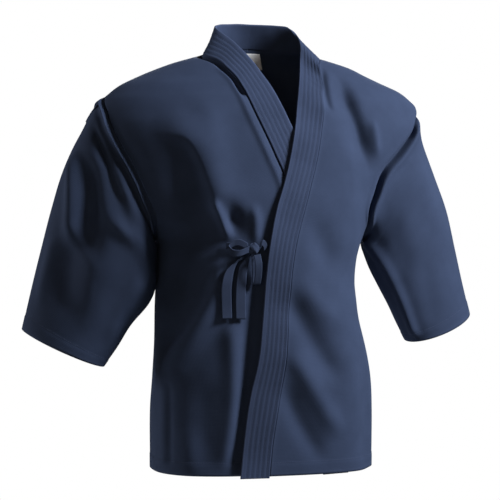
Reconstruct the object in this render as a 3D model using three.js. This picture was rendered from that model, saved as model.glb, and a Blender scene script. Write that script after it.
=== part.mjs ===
import * as THREE from 'three'

// A kendo jacket, worn and closed, with no wearer in it. It is cut in the old way: each half of the body
// is one length of cloth that runs from the front hem over the shoulder to the back hem, the halves meet
// at the centre back, a straight sleeve is set on each, and one long stitched band makes the collar.
// Millimetres. +X is the wearer's left, the front faces -Y and +Z is up. The origin lies midway between
// the two side neck points, where the jacket hangs on the wearer.

// Driving sizes
const clothThick = 2
const bandThick = 4
const bandProud = 1
const tapeThick = 2
const tapeWide = 17
const seamGap = 0.3
const hemLevel = -716
const collarEndLevel = -719
const overlapLiftHigh = 5.5
const overlapLiftLow = 11

// How finely the pieces are divided
const panelAcross = 14
const frontHemToArmpit = 12
const frontArmpitToShoulder = 12
const shoulderToBackNeck = 4
const backNeckToArmpit = 9
const backArmpitToHem = 12
const sleeveAlong = 15
const collarAcross = 3

const navy = new THREE.MeshStandardMaterial({ color: 0x2c3850, roughness: 0.92, metalness: 0 })
const navyBand = new THREE.MeshStandardMaterial({ color: 0x33405a, roughness: 0.9, metalness: 0 })
const navyTape = new THREE.MeshStandardMaterial({ color: 0x27324a, roughness: 0.9, metalness: 0 })
const white = new THREE.MeshStandardMaterial({ color: 0xe4e4e0, roughness: 0.8, metalness: 0 })

function table(names, rows) {
  return rows.map((row) => Object.fromEntries(names.map((name, i) => [name, row[i]])))
}

// The form that the body cloth follows, level by level. right and left are the half widths on the
// wearer's right and left, front and back are how far the cloth stands forward and back, middle is where
// it is widest from front to back, and square is how square the section is, 2 being an oval.
const bodyLevels = table(
  ['level', 'right', 'left', 'front', 'back', 'middle', 'square'],
  [
    [22, 58, 60, -4, 88, 25, 2.1],
    [13, 75, 76, 0, 91, 25, 2.1],
    [6, 86, 88, 5, 93, 25, 2.1],
    [0, 96, 102, 10, 95, 25, 2.1],
    [-6, 113, 128, 17, 96, 25, 2.1],
    [-18, 152, 170, 30, 99, 26, 2.1],
    [-32, 188, 201, 44, 102, 27, 2.1],
    [-45, 217, 231, 55, 104, 28, 2.15],
    [-60, 246, 265, 68, 106, 28, 2.2],
    [-78, 268, 288, 80, 109, 28, 2.2],
    [-88, 277, 294, 86, 110, 28, 2.2],
    [-105, 286, 297, 94, 112, 28, 2.2],
    [-130, 288, 292, 102, 115, 27, 2.3],
    [-165, 278, 270, 112, 117, 25, 2.3],
    [-205, 260, 238, 119, 117, 22, 2.3],
    [-250, 238, 213, 127, 114, 15, 2.3],
    [-295, 208, 190, 131, 110, 6, 2.3],
    [-325, 186, 177, 133, 108, 0, 2.3],
    [-360, 185, 159, 135, 105, -5, 2.3],
    [-400, 187, 151, 136, 101, -10, 2.35],
    [-440, 189, 158, 136, 99, -13, 2.4],
    [-500, 190, 176, 136, 97, -15, 2.5],
    [-560, 193, 187, 136, 97, -15, 2.6],
    [-620, 197, 190, 135, 98, -15, 2.6],
    [hemLevel, 196, 188, 135, 102, -15, 2.7],
  ],
)

// The armhole seam on each side from the shoulder down to the armpit, seen from the front.
const armholeRows = table(
  ['rightAcross', 'rightLevel', 'leftAcross', 'leftLevel'],
  [
    [268, -78, 294, -88],
    [276, -104, 285, -115],
    [271, -130, 268, -143],
    [256, -165, 239, -174],
    [235, -205, 209, -205],
    [216, -250, 192, -240],
    [198, -295, 179, -285],
    [186, -325, 178, -323],
  ],
)

// The collar on each side from the front hem round the neck to the centre back. seam is the edge that is
// sewn to the body, on the front (1) or the back (-1) of the form; free is the other edge of the band.
// Where freeDepth is null the free edge lies on the chest, and elsewhere it stands up round the neck.
const collarNames = ['seamAcross', 'seamLevel', 'face', 'freeAcross', 'freeDepth', 'freeLevel']
const collarRight = table(collarNames, [
  [72, collarEndLevel, 1, 120, null, collarEndLevel],
  [69, -640, 1, 117, null, -640],
  [62, -540, 1, 110, null, -540],
  [52, -440, 1, 100, null, -438],
  [39, -350, 1, 87, null, -342],
  [24, -275, 1, 71, null, -262],
  [9, -221, 1, 55, null, -203],
  [-6, -184, 1, 38, null, -163],
  [-19, -152, 1, 25, null, -131],
  [-33, -118, 1, 12, null, -97],
  [-44, -88, 1, 0, null, -66],
  [-52, -66, 1, -10, null, -44],
  [-60, -47, 1, -22, -36, -20],
  [-72, -30, 1, -36, -18, 2],
  [-84, -15, 1, -52, 4, 24],
  [-95, 0, 1, -73, 32, 48],
  [-82, 7, -1, -63, 54, 57],
  [-61, 13, -1, -44, 63, 60],
  [-33, 18, -1, -23, 67, 62],
  [0, 20, -1, 0, 68, 62],
])
const collarLeft = table(collarNames, [
  [-25, collarEndLevel, 1, -73, null, collarEndLevel],
  [-19, -658, 1, -66, null, -656],
  [-8, -592, 1, -57, null, -590],
  [3, -520, 1, -42, null, -520],
  [8, -450, 1, -35, null, -450],
  [12, -390, 1, -30, null, -388],
  [20, -340, 1, -23, null, -332],
  [34, -290, 1, -11, null, -276],
  [48, -245, 1, 4, null, -232],
  [61, -205, 1, 16, null, -192],
  [73, -157, 1, 28, null, -142],
  [83, -115, 1, 43, -76, -92],
  [91, -75, 1, 57, -42, -48],
  [99, -38, 1, 70, -3, -10],
  [101, -15, 1, 78, 22, 22],
  [93, 3, 1, 75, 40, 44],
  [87, 7, -1, 66, 56, 57],
  [64, 13, -1, 46, 64, 61],
  [34, 18, -1, 24, 67, 62],
  [0, 20, -1, 0, 68, 62],
])

// The largest folds of the body: each follows a path of across and level on the front (1) or the back (-1),
// rises by height (or sinks, where it is negative) and is about twice wide across.
const bodyFolds = [
  { face: 1, wide: 24, height: 12, path: [[-192, -146], [-152, -160], [-131, -194], [-74, -322]] },
  { face: 1, wide: 34, height: -15, path: [[-160, -190], [-156, -250], [-146, -340]] },
  { face: 1, wide: 26, height: -12, path: [[-176, -340], [-184, -430]] },
  { face: 1, wide: 18, height: 11, path: [[-98, -366], [-129, -452], [-174, -526], [-190, -566]] },
  { face: 1, wide: 19, height: -14, path: [[-90, -258], [-78, -284], [-66, -314]] },
  { face: 1, wide: 16, height: -7, path: [[-38, -372], [-50, -470], [-70, -640], [-82, -706]] },
  { face: 1, wide: 16, height: 5, path: [[-86, -462], [-83, -600], [-96, -700]] },
  { face: 1, wide: 24, height: 4, path: [[-120, -86], [-106, -190]] },
  { face: 1, wide: 20, height: -14, path: [[126, -44], [136, -90], [146, -130], [158, -184]] },
  { face: 1, wide: 24, height: -7, path: [[48, -290], [72, -340], [94, -390]] },
  { face: 1, wide: 20, height: 5, path: [[24, -392], [52, -428], [98, -478]] },
  { face: 1, wide: 20, height: -8, path: [[8, -420], [34, -470], [66, -520], [96, -562]] },
  { face: 1, wide: 18, height: 8, path: [[10, -512], [38, -556], [70, -612], [94, -650]] },
  { face: 1, wide: 17, height: -6, path: [[4, -566], [16, -610], [40, -654], [66, -694]] },
  { face: 1, wide: 22, height: -5, path: [[130, -440], [148, -560], [146, -700]] },
  { face: -1, wide: 26, height: 8, path: [[-120, -180], [-90, -420]] },
  { face: -1, wide: 24, height: 8, path: [[118, -170], [96, -400]] },
  { face: -1, wide: 24, height: -8, path: [[-60, -300], [-78, -700]] },
  { face: -1, wide: 26, height: -8, path: [[62, -330], [84, -700]] },
  { face: -1, wide: 24, height: 7, path: [[0, -420], [6, -710]] },
]

// Each sleeve from its first free section to the cuff. outer and inner are the two ends of a section seen
// from the front, middle is how far back its middle lies, deep is its depth, and turn is how far its
// flat face is turned outwards, in degrees.
const sleeveNames = [
  'share', 'outerAcross', 'outerLevel', 'innerAcross', 'innerLevel', 'middle', 'deep', 'turn',
]
const sleeveRight = table(sleeveNames, [
  [0.28, 317, -150, 187, -366, 12, 136, 8],
  [0.43, 343, -205, 187, -404, 14, 126, 14],
  [0.58, 363, -268, 198, -438, 19, 116, 19],
  [0.73, 381, -337, 227, -476, 27, 106, 23],
  [0.87, 398, -402, 249, -513, 27, 98, 26],
  [1, 415, -473, 271, -544, 26, 92, 28],
])
const sleeveLeft = table(sleeveNames, [
  [0.28, 311, -150, 196, -346, 22, 134, 6],
  [0.43, 337, -205, 207, -378, 25, 124, 10],
  [0.58, 364, -266, 222, -410, 27, 116, 14],
  [0.73, 382, -334, 241, -446, 28, 108, 17],
  [0.87, 397, -396, 256, -478, 28, 102, 19],
  [1, 411, -452, 272, -509, 27, 98, 20],
])

// The largest folds of the sleeves, whose paths are shares along the sleeve and degrees round it from its
// outer edge over the front.
const sleeveFolds = {
  right: [
    { wide: 14, height: 10, path: [[0.34, 14], [0.44, 36], [0.52, 48], [0.68, 62]] },
    { wide: 24, height: -12, path: [[0.1, 40], [0.2, 60], [0.3, 80], [0.36, 98]] },
    { wide: 17, height: 5, path: [[0.44, 84], [0.42, 100], [0.38, 118], [0.3, 130]] },
    { wide: 34, height: 9, path: [[0.52, 90], [0.64, 98], [0.76, 108], [0.86, 116]] },
    { wide: 20, height: -6, path: [[0.6, 60], [0.72, 70], [0.86, 84]] },
    { wide: 20, height: -8, path: [[0.2, 300], [0.7, 285]] },
    { wide: 18, height: 6, path: [[0.3, 240], [0.8, 250]] },
  ],
  left: [
    { wide: 14, height: 8, path: [[0.14, 170], [0.3, 160], [0.46, 153], [0.7, 154], [0.97, 157]] },
    { wide: 24, height: 3, path: [[0.25, 60], [0.7, 64]] },
    { wide: 20, height: -8, path: [[0.2, 298], [0.7, 284]] },
    { wide: 18, height: 6, path: [[0.35, 236], [0.85, 246]] },
  ],
}

// A smooth value from a column of a table, which runs through every row.
function along(rows, order, name, at) {
  const rising = rows[rows.length - 1][order] > rows[0][order]
  const reached = (k) => (rising ? rows[k][order] <= at : rows[k][order] >= at)
  let k = 0
  while (k < rows.length - 2 && reached(k + 1)) {
    k += 1
  }
  const spans = (a, b) => rows[b][order] - rows[a][order]
  const slope = (a, b) => (rows[b][name] - rows[a][name]) / spans(a, b)
  const here = slope(k, k + 1)
  const before = k > 0 ? slope(k - 1, k + 1) : here
  const after = k < rows.length - 2 ? slope(k, k + 2) : here
  const span = spans(k, k + 1)
  const u = THREE.MathUtils.clamp((at - rows[k][order]) / span, 0, 1)
  const v = 1 - u
  const ends = rows[k][name] * v * v * (1 + 2 * u) + rows[k + 1][name] * u * u * (1 + 2 * v)
  return ends + span * u * v * (before * v - after * u)
}

function bodySection(level) {
  const read = (name) => along(bodyLevels, 'level', name, level)
  const middle = read('middle')
  return {
    middle,
    right: read('right'),
    left: read('left'),
    front: read('front') + middle,
    back: read('back') - middle,
    square: read('square'),
  }
}

// A point of the form: angle 0 is the wearer's left side, a quarter turn is the front, a half turn the
// right side, and minus a quarter turn or three quarters the back.
function formPoint(angle, level) {
  const section = bodySection(level)
  const across = Math.cos(angle)
  const forward = Math.sin(angle)
  const half = across < 0 ? section.right : section.left
  const deep = forward > 0 ? section.front : section.back
  const power = section.square
  const sum = Math.pow(Math.abs(across / half), power) + Math.pow(Math.abs(forward / deep), power)
  const reach = Math.pow(sum, -1 / power)
  return new THREE.Vector3(reach * across, section.middle - reach * forward, level)
}

// The angle at which the form has a given distance across, on its front (1) or its back (-1).
function angleAt(across, level, face) {
  const section = bodySection(level)
  const half = across < 0 ? section.right : section.left
  const deep = face > 0 ? section.front : section.back
  const power = section.square
  const share = Math.min(1, Math.abs(across) / half)
  const forward = deep * Math.pow(1 - Math.pow(share, power), 1 / power)
  const angle = Math.atan2(face * forward, across)
  return across < 0 && face < 0 ? angle + 2 * Math.PI : angle
}

function formNormal(angle, level) {
  const step = 0.01
  const round = formPoint(angle + step, level).sub(formPoint(angle - step, level))
  const up = formPoint(angle, level + 1).sub(formPoint(angle, level - 1))
  return up.cross(round).normalize()
}

function smooth(share) {
  const s = THREE.MathUtils.clamp(share, 0, 1)
  return s * s * (3 - 2 * s)
}

// The height of one fold at a place: a soft rounded profile across its path, and tapered ends along it.
function foldHeight(x, y, path, wide, height) {
  const lengths = path.slice(1).map((to, k) => Math.hypot(to[0] - path[k][0], to[1] - path[k][1]))
  const total = lengths.reduce((sum, long) => sum + long, 0)
  let nearest = Infinity
  let share = 0
  let before = 0
  lengths.forEach((long, k) => {
    const [fromX, fromY] = path[k]
    const runX = path[k + 1][0] - fromX
    const runY = path[k + 1][1] - fromY
    const first = k === 0 ? -Infinity : 0
    const last = k === lengths.length - 1 ? Infinity : 1
    const covered = ((x - fromX) * runX + (y - fromY) * runY) / (long * long)
    const at = THREE.MathUtils.clamp(covered, first, last)
    const aside = Math.hypot(x - fromX - at * runX, y - fromY - at * runY)
    if (aside < nearest) {
      nearest = aside
      share = (before + at * long) / total
    }
    before += long
  })
  const taper = wide / total
  const ends = smooth((share + taper) / (3 * taper)) * smooth((1 + taper - share) / (3 * taper))
  return height * ends * Math.exp(-((nearest / wide) ** 2))
}

// Folds fade out towards the sides, where the form turns from its front to its back.
const foldsFullFrom = 0.4
function bodyFoldAt(point, face, angle) {
  let height = 0
  for (const fold of bodyFolds) {
    if (fold.face === face) {
      height += foldHeight(point.x, point.z, fold.path, fold.wide, fold.height)
    }
  }
  return height * smooth(Math.abs(Math.sin(angle)) / foldsFullFrom)
}

// How far the left front is raised, because it lies over the right front and its collar.
const liftStarts = 128
const liftEnds = 172
const liftTop = -70
const liftFull = -135
const liftGrows = -190
const liftGrown = -380
function leftLift(point) {
  const sideways = 1 - smooth((point.x - liftStarts) / (liftEnds - liftStarts))
  const grown = smooth((point.z - liftGrows) / (liftGrown - liftGrows))
  const lift = overlapLiftHigh + (overlapLiftLow - overlapLiftHigh) * grown
  return lift * sideways * smooth((point.z - liftTop) / (liftFull - liftTop))
}

// A point of the cloth: the form with its folds, and the left front raised.
function clothPoint(side, angle, level) {
  const point = formPoint(angle, level)
  const face = Math.sin(angle) > 0 ? 1 : -1
  let height = bodyFoldAt(point, face, angle)
  if (side > 0 && face > 0) {
    height += leftLift(point)
  }
  return point.addScaledVector(formNormal(angle, level), height)
}

// A closed wall from a grid of points on its outer face. Each point is moved inwards by the thickness for
// the inner face, along normals where they are given and else square to the grid. round closes each row.
function wall(grid, thick, outward, { round = false, normals = null } = {}) {
  const rows = grid.length
  const columns = grid[0].length
  const column = (j) => (round ? (j + columns) % columns : THREE.MathUtils.clamp(j, 0, columns - 1))
  const row = (i) => THREE.MathUtils.clamp(i, 0, rows - 1)
  const normalAt = (i, j) => {
    if (normals && normals[i][j]) {
      return normals[i][j]
    }
    const down = grid[row(i + 1)][j].clone().sub(grid[row(i - 1)][j])
    const over = grid[i][column(j + 1)].clone().sub(grid[i][column(j - 1)])
    return down.cross(over).normalize().multiplyScalar(outward)
  }
  const positions = []
  for (let i = 0; i < rows; i += 1) {
    for (let j = 0; j < columns; j += 1) {
      const inner = grid[i][j].clone().addScaledVector(normalAt(i, j), -thick)
      positions.push(...grid[i][j].toArray(), ...inner.toArray())
    }
  }
  const outerAt = (i, j) => 2 * (i * columns + column(j))
  const innerAt = (i, j) => outerAt(i, j) + 1
  const faces = []
  const quad = (a, b, c, d) => {
    const corners = outward > 0 ? [a, b, c, d] : [a, d, c, b]
    faces.push(corners[0], corners[1], corners[2], corners[0], corners[2], corners[3])
  }
  const lastColumn = round ? columns : columns - 1
  for (let i = 0; i < rows - 1; i += 1) {
    for (let j = 0; j < lastColumn; j += 1) {
      quad(outerAt(i, j), outerAt(i + 1, j), outerAt(i + 1, j + 1), outerAt(i, j + 1))
      quad(innerAt(i, j), innerAt(i, j + 1), innerAt(i + 1, j + 1), innerAt(i + 1, j))
    }
  }
  for (let j = 0; j < lastColumn; j += 1) {
    quad(outerAt(0, j), outerAt(0, j + 1), innerAt(0, j + 1), innerAt(0, j))
    quad(outerAt(rows - 1, j + 1), outerAt(rows - 1, j), innerAt(rows - 1, j), innerAt(rows - 1, j + 1))
  }
  if (!round) {
    for (let i = 0; i < rows - 1; i += 1) {
      quad(outerAt(i + 1, 0), outerAt(i, 0), innerAt(i, 0), innerAt(i + 1, 0))
      const last = columns - 1
      quad(outerAt(i, last), outerAt(i + 1, last), innerAt(i + 1, last), innerAt(i, last))
    }
  }
  const geometry = new THREE.BufferGeometry()
  geometry.setAttribute('position', new THREE.Float32BufferAttribute(positions, 3))
  geometry.setIndex(faces)
  geometry.computeVertexNormals()
  return geometry
}

function named(name, geometry, material) {
  const mesh = new THREE.Mesh(geometry, material)
  mesh.name = name
  return mesh
}

// A seam on the form as many places, each with its angle, level and distance run, so that pieces on both
// sides of the seam can be divided along it at equal distances.
const seamSteps = 240
function seamFrom(placeAt) {
  const places = []
  let run = 0
  let last = null
  for (let k = 0; k <= seamSteps; k += 1) {
    const place = placeAt(k / seamSteps)
    const point = formPoint(place.angle, place.level)
    run += last ? point.distanceTo(last) : 0
    places.push({ ...place, run })
    last = point
  }
  return places
}

function placeOn(seam, share) {
  const total = seam[seam.length - 1].run
  return {
    index: along(seam, 'run', 'index', share * total),
    angle: along(seam, 'run', 'angle', share * total),
    level: along(seam, 'run', 'level', share * total),
  }
}

// The way off a piece across its seam, in the cloth, where the seam runs from one place to another.
function leaveWay(from, to, normal, side) {
  const way = formPoint(to.angle, to.level).sub(formPoint(from.angle, from.level))
  return way.cross(normal).normalize().multiplyScalar(side)
}

const sideAngle = (side) => (side < 0 ? Math.PI : 0)
const backAngle = (side) => (side < 0 ? 1.5 * Math.PI : -0.5 * Math.PI)
const collarRows = (side) => (side < 0 ? collarRight : collarLeft)
const sideNeckRow = 15

// The places of a collar seam by row number, with whole numbers at the table's rows.
function collarPlaces(side) {
  return collarRows(side).map((row, index) => {
    const atSide = index === sideNeckRow
    const atBack = row.face < 0 && row.seamAcross === 0
    const found = angleAt(row.seamAcross, row.seamLevel, row.face)
    const angle = atSide ? sideAngle(side) : atBack ? backAngle(side) : found
    return { index, angle, level: row.seamLevel }
  })
}

function collarSeam(side, fromRow, toRow) {
  const places = collarPlaces(side)
  return seamFrom((share) => {
    const index = fromRow + (toRow - fromRow) * share
    const read = (column) => along(places, 'index', column, index)
    return { index, angle: read('angle'), level: read('level') }
  })
}

function armholeSeam(side, face) {
  const name = side < 0 ? 'right' : 'left'
  const places = armholeRows.map((row, index) => {
    const level = row[name + 'Level']
    const atEnd = index === 0 || index === armholeRows.length - 1
    const angle = atEnd ? sideAngle(side) : angleAt(side * row[name + 'Across'], level, face)
    return { index, angle, level }
  })
  return seamFrom((share) => {
    const index = share * (armholeRows.length - 1)
    const read = (column) => along(places, 'index', column, index)
    return { index, angle: read('angle'), level: read('level') }
  })
}

const armpitLevel = (side) => armholeRows[armholeRows.length - 1][side < 0 ? 'rightLevel' : 'leftLevel']

// The row number at which a collar seam on the front passes a level.
function collarRowAt(side, level) {
  const places = collarPlaces(side)
  let low = 0
  let high = sideNeckRow
  for (let k = 0; k < 40; k += 1) {
    const half = (low + high) / 2
    if (along(places, 'index', 'level', half) < level) {
      low = half
    } else {
      high = half
    }
  }
  return low
}

// The three stretches of a collar seam that the rows of a body half follow.
function neckEdges(side) {
  const armpitRow = collarRowAt(side, armpitLevel(side))
  return {
    lowFrontEdge: collarSeam(side, collarRowAt(side, hemLevel), armpitRow),
    highFrontEdge: collarSeam(side, armpitRow, sideNeckRow),
    backNeckEdge: collarSeam(side, sideNeckRow, collarRows(side).length - 1),
  }
}

// One half of the body: rows run from the front hem up to the shoulder line and down the back to the hem,
// and columns from the collar seam or the centre back out to the side seam or the armhole.
function bodyHalf(side) {
  const centreRow = collarRows(side).length - 1
  const { lowFrontEdge, highFrontEdge, backNeckEdge } = neckEdges(side)
  const frontArmhole = armholeSeam(side, 1)
  const backArmhole = armholeSeam(side, -1)
  const armpit = armpitLevel(side)
  const sideEdge = (from, to) => (share) => ({ angle: sideAngle(side), level: from + (to - from) * share })
  const centreEdge = (from, to) => (share) => ({ angle: backAngle(side), level: from + (to - from) * share })
  const backNeckLevel = collarRows(side)[centreRow].seamLevel
  const backRows = shoulderToBackNeck + backNeckToArmpit
  const stretches = [
    [frontHemToArmpit, (s) => placeOn(lowFrontEdge, s), sideEdge(hemLevel, armpit), 1],
    [frontArmpitToShoulder, (s) => placeOn(highFrontEdge, s), (s) => placeOn(frontArmhole, 1 - s), 1],
    [shoulderToBackNeck, (s) => placeOn(backNeckEdge, s),
      (s) => placeOn(backArmhole, (s * shoulderToBackNeck) / backRows), -1],
    [backNeckToArmpit, centreEdge(backNeckLevel, armpit),
      (s) => placeOn(backArmhole, (shoulderToBackNeck + s * backNeckToArmpit) / backRows), -1],
    [backArmpitToHem, centreEdge(armpit, hemLevel), sideEdge(armpit, hemLevel), -1],
  ]
  const grid = []
  const normals = []
  stretches.forEach(([count, innerEdge, outerEdge, face], number) => {
    for (let i = number === 0 ? 0 : 1; i <= count; i += 1) {
      const inner = innerEdge(i / count)
      const outer = outerEdge(i / count)
      const points = []
      const edgeNormals = []
      for (let j = 0; j <= panelAcross; j += 1) {
        const share = j / panelAcross
        const angle = THREE.MathUtils.lerp(inner.angle, outer.angle, share)
        const level = THREE.MathUtils.lerp(inner.level, outer.level, share)
        const point = clothPoint(side, angle, level)
        const atEdge = j === 0 || j === panelAcross
        edgeNormals.push(atEdge ? formNormal(angle, level) : null)
        points.push(point)
      }
      if (number === 0 || number === 4) {
        points[panelAcross].y -= (face * seamGap) / 2
      }
      if (number >= 3) {
        points[0].x += (side * seamGap) / 2
      }
      grid.push(points)
      normals.push(edgeNormals)
    }
  })
  const name = side < 0 ? 'body_right' : 'body_left'
  return named(name, wall(grid, clothThick, -side, { normals }), navy)
}

// A sleeve is divided round as the armhole of the body is: over the front, then up the back.
const sleeveBack = shoulderToBackNeck + backNeckToArmpit
const sleeveRound = frontArmpitToShoulder + sleeveBack
function sleeveAngle(j) {
  const front = j / frontArmpitToShoulder
  const back = (j - frontArmpitToShoulder) / sleeveBack
  return Math.PI * (front <= 1 ? front : 1 + back)
}

// How far the front of each cuff hangs below a straight cut.
const cuffDroop = { right: 10, left: 11 }
const droopPower = 3

// One section of a sleeve as points round it, starting at the outer edge and going over the front.
function sleeveSection(side, row) {
  const outer = new THREE.Vector3(side * row.outerAcross, 0, row.outerLevel)
  const inner = new THREE.Vector3(side * row.innerAcross, 0, row.innerLevel)
  const middle = outer.clone().add(inner).multiplyScalar(0.5)
  middle.y = row.middle
  const turn = THREE.MathUtils.degToRad(row.turn)
  const flat = outer.clone().sub(inner)
  const half = flat.length() / 2
  flat.normalize()
  const front = new THREE.Vector3(0, -1, 0)
  const wideWay = flat.clone().multiplyScalar(Math.cos(turn)).addScaledVector(front, -Math.sin(turn))
  const deepWay = flat.clone().multiplyScalar(Math.sin(turn)).addScaledVector(front, Math.cos(turn))
  const droop = (side < 0 ? cuffDroop.right : cuffDroop.left) * row.share ** droopPower
  const points = []
  for (let j = 0; j < sleeveRound; j += 1) {
    const round = sleeveAngle(j)
    const point = middle.clone()
    point.addScaledVector(wideWay, half * Math.cos(round))
    point.addScaledVector(deepWay, (row.deep / 2) * Math.sin(round))
    point.z -= droop * Math.sin(round)
    points.push(point)
  }
  return points
}

// The height of a sleeve's folds at a place. Shares and degrees become distances on the cloth.
const sleeveLength = 420
const girthPerDegree = 1.35
function sleeveFoldAt(folds, share, degrees) {
  const onCloth = ([length, round]) => [length * sleeveLength, round * girthPerDegree]
  const [x, y] = onCloth([share, degrees])
  let height = 0
  for (const fold of folds) {
    height += foldHeight(x, y, fold.path.map(onCloth), fold.wide, fold.height)
  }
  return height
}

// A sleeve leaves the armhole seam along the body cloth, turns over, and runs through its sections.
const rowCrowding = 1.25
const leaveLength = 46
const leaveHeight = 16
function sleeve(side) {
  const rows = side < 0 ? sleeveRight : sleeveLeft
  const folds = side < 0 ? sleeveFolds.right : sleeveFolds.left
  const sections = rows.map((row) => ({ share: row.share, points: sleeveSection(side, row) }))
  const seams = { front: armholeSeam(side, 1), back: armholeSeam(side, -1) }
  const grid = Array.from({ length: sleeveAlong + 1 }, () => [])
  const normals = Array.from({ length: sleeveAlong + 1 }, () => Array(sleeveRound).fill(null))
  const placeRound = (j) => {
    const share = sleeveAngle((j + sleeveRound) % sleeveRound) / Math.PI
    return share <= 1 ? placeOn(seams.front, share) : placeOn(seams.back, 2 - share)
  }
  for (let j = 0; j < sleeveRound; j += 1) {
    const place = placeRound(j)
    const start = clothPoint(side, place.angle, place.level)
    const normal = formNormal(place.angle, place.level)
    const leave = leaveWay(placeRound(j - 1), placeRound(j + 1), normal, -side)
    start.addScaledVector(leave, seamGap)
    normals[0][j] = normal
    const stations = [{ share: 0, x: start.x, y: start.y, z: start.z }]
    for (const section of sections) {
      const point = section.points[j]
      stations.push({ share: section.share, x: point.x, y: point.y, z: point.z })
    }
    for (let i = 0; i <= sleeveAlong; i += 1) {
      const share = (i / sleeveAlong) ** rowCrowding
      const point = new THREE.Vector3(
        along(stations, 'share', 'x', share),
        along(stations, 'share', 'y', share),
        along(stations, 'share', 'z', share),
      )
      const first = stations[1].share
      if (share < first) {
        const u = share / first
        point.addScaledVector(leave, leaveLength * u * (1 - u) * (1 - u))
        point.addScaledVector(normal, leaveHeight * u * (1 - u) * (1 - u))
      }
      grid[i].push(point)
    }
  }
  const plain = grid.map((points) => points.map((point) => point.clone()))
  for (let i = 1; i <= sleeveAlong; i += 1) {
    const share = (i / sleeveAlong) ** rowCrowding
    const before = plain[i - 1]
    const after = plain[Math.min(i + 1, sleeveAlong)]
    for (let j = 0; j < sleeveRound; j += 1) {
      const next = plain[i][(j + 1) % sleeveRound]
      const last = plain[i][(j + sleeveRound - 1) % sleeveRound]
      const over = next.clone().sub(last)
      const down = after[j].clone().sub(before[j])
      const normal = down.cross(over).normalize().multiplyScalar(-side)
      const degrees = THREE.MathUtils.radToDeg(sleeveAngle(j))
      grid[i][j].addScaledVector(normal, sleeveFoldAt(folds, share, degrees))
    }
  }
  const name = side < 0 ? 'sleeve_right' : 'sleeve_left'
  return named(name, wall(grid, clothThick, -side, { round: true, normals }), navy)
}

// The free edge of the collar band at a row number.
function freeEdge(side, index) {
  const ends = collarRows(side).map((row, number) => {
    const freeAngle = angleAt(row.freeAcross, row.freeLevel, row.face)
    const lies = row.freeDepth === null
    const point = lies ? clothPoint(side, freeAngle, row.freeLevel) : null
    return {
      index: number,
      x: lies ? point.x : row.freeAcross,
      y: lies ? point.y : row.freeDepth,
      z: row.freeLevel,
    }
  })
  return new THREE.Vector3(
    along(ends, 'index', 'x', index),
    along(ends, 'index', 'y', index),
    along(ends, 'index', 'z', index),
  )
}

// The places along one side's collar seam, from the end below the hem to the centre back, divided as the
// rows of the body half are.
function collarStations(side) {
  const { lowFrontEdge, highFrontEdge, backNeckEdge } = neckEdges(side)
  const first = collarPlaces(side)[0]
  const places = [first]
  const add = (seam, count) => {
    for (let i = places.length === 1 ? 0 : 1; i <= count; i += 1) {
      places.push(placeOn(seam, i / count))
    }
  }
  add(lowFrontEdge, frontHemToArmpit)
  add(highFrontEdge, frontArmpitToShoulder)
  add(backNeckEdge, shoulderToBackNeck)
  return places
}

// The collar band: its seam edge keeps beside the edge of the body cloth, and from there it is straight
// across to its free edge.
function collar() {
  const rows = []
  for (const side of [-1, 1]) {
    const places = collarStations(side)
    const half = places.map((place, i) => {
      const normal = formNormal(place.angle, place.level)
      const ahead = places[Math.min(i + 1, places.length - 1)]
      const behind = places[Math.max(i - 1, 0)]
      const seam = clothPoint(side, place.angle, place.level)
      seam.addScaledVector(leaveWay(behind, ahead, normal, -side), seamGap)
      return { seam, free: freeEdge(side, place.index), normal }
    })
    if (side < 0) {
      rows.push(...half)
    } else {
      rows.push(...half.reverse().slice(1))
    }
  }
  const grid = rows.map(({ seam, free }) => {
    return Array.from({ length: collarAcross + 1 }, (_, j) => seam.clone().lerp(free, j / collarAcross))
  })
  const normals = rows.map(({ normal }) => [normal, ...Array(collarAcross).fill(null)])
  const raised = grid.map((points, i) => {
    const before = grid[Math.max(i - 1, 0)]
    const after = grid[Math.min(i + 1, grid.length - 1)]
    return points.map((point, j) => {
      const down = after[j].clone().sub(before[j])
      const over = points[collarAcross].clone().sub(points[0])
      const normal = j === 0 ? normals[i][0] : over.cross(down).normalize()
      return point.clone().addScaledVector(normal, bandProud)
    })
  })
  return named('collar', wall(raised, bandThick, -1, { normals }), navyBand)
}

// A place on the outer face of the front, moved forward off the cloth.
function onFront(side, across, level, off) {
  const point = clothPoint(side, angleAt(across, level, 1), level)
  point.y -= off
  return point
}

// The two outer ties, knotted in a bow on the right front. Each stretch of tape is a row of places given
// as across, level and distance off the cloth, with lay the way its width runs, in degrees above level.
const knotPlace = { across: -51, level: -341, off: 12 }
const knotRadii = { across: 9, forward: 7, up: 10 }
const tapeNames = ['across', 'level', 'off', 'lay']
const tieLeftLead = table(tapeNames, [
  [-30, -341, 7, 50],
  [-32, -335, 10, 60],
  [-37, -331, 12.5, 76],
  [-41.4, -336.5, 12, 88],
])
const tieRightLead = table(tapeNames, [
  [-93, -336, 3.2, 84],
  [-84, -336, 4, 84],
  [-74, -337, 4.5, 86],
  [-62, -339, 5, 88],
])
const tieRightLoop = table(tapeNames, [
  [-61.2, -337, 11, 84],
  [-74, -331, 12, 80],
  [-84, -332, 13, 84],
  [-91, -340, 15, 92],
  [-86, -348, 19, 84],
  [-76, -348, 20, 80],
  [-60.6, -342, 15, 84],
])
const tieLeftLoop = table(tapeNames, [
  [-47, -351.2, 14.5, 10],
  [-46, -366, 20, 8],
  [-46, -384, 19, 6],
  [-47, -398, 14, 4],
  [-47, -384, 9, 4],
  [-48, -368, 9, 6],
  [-49, -351.5, 9.5, 8],
])
const tieRightTail = table(tapeNames, [
  [-64.5, -352, 9, 48],
  [-78, -360, 10, 40],
  [-89, -376, 8, 22],
  [-94, -402, 5, 6],
  [-94.5, -430, 4.5, 2],
  [-94, -456, 5, 0],
])
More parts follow.
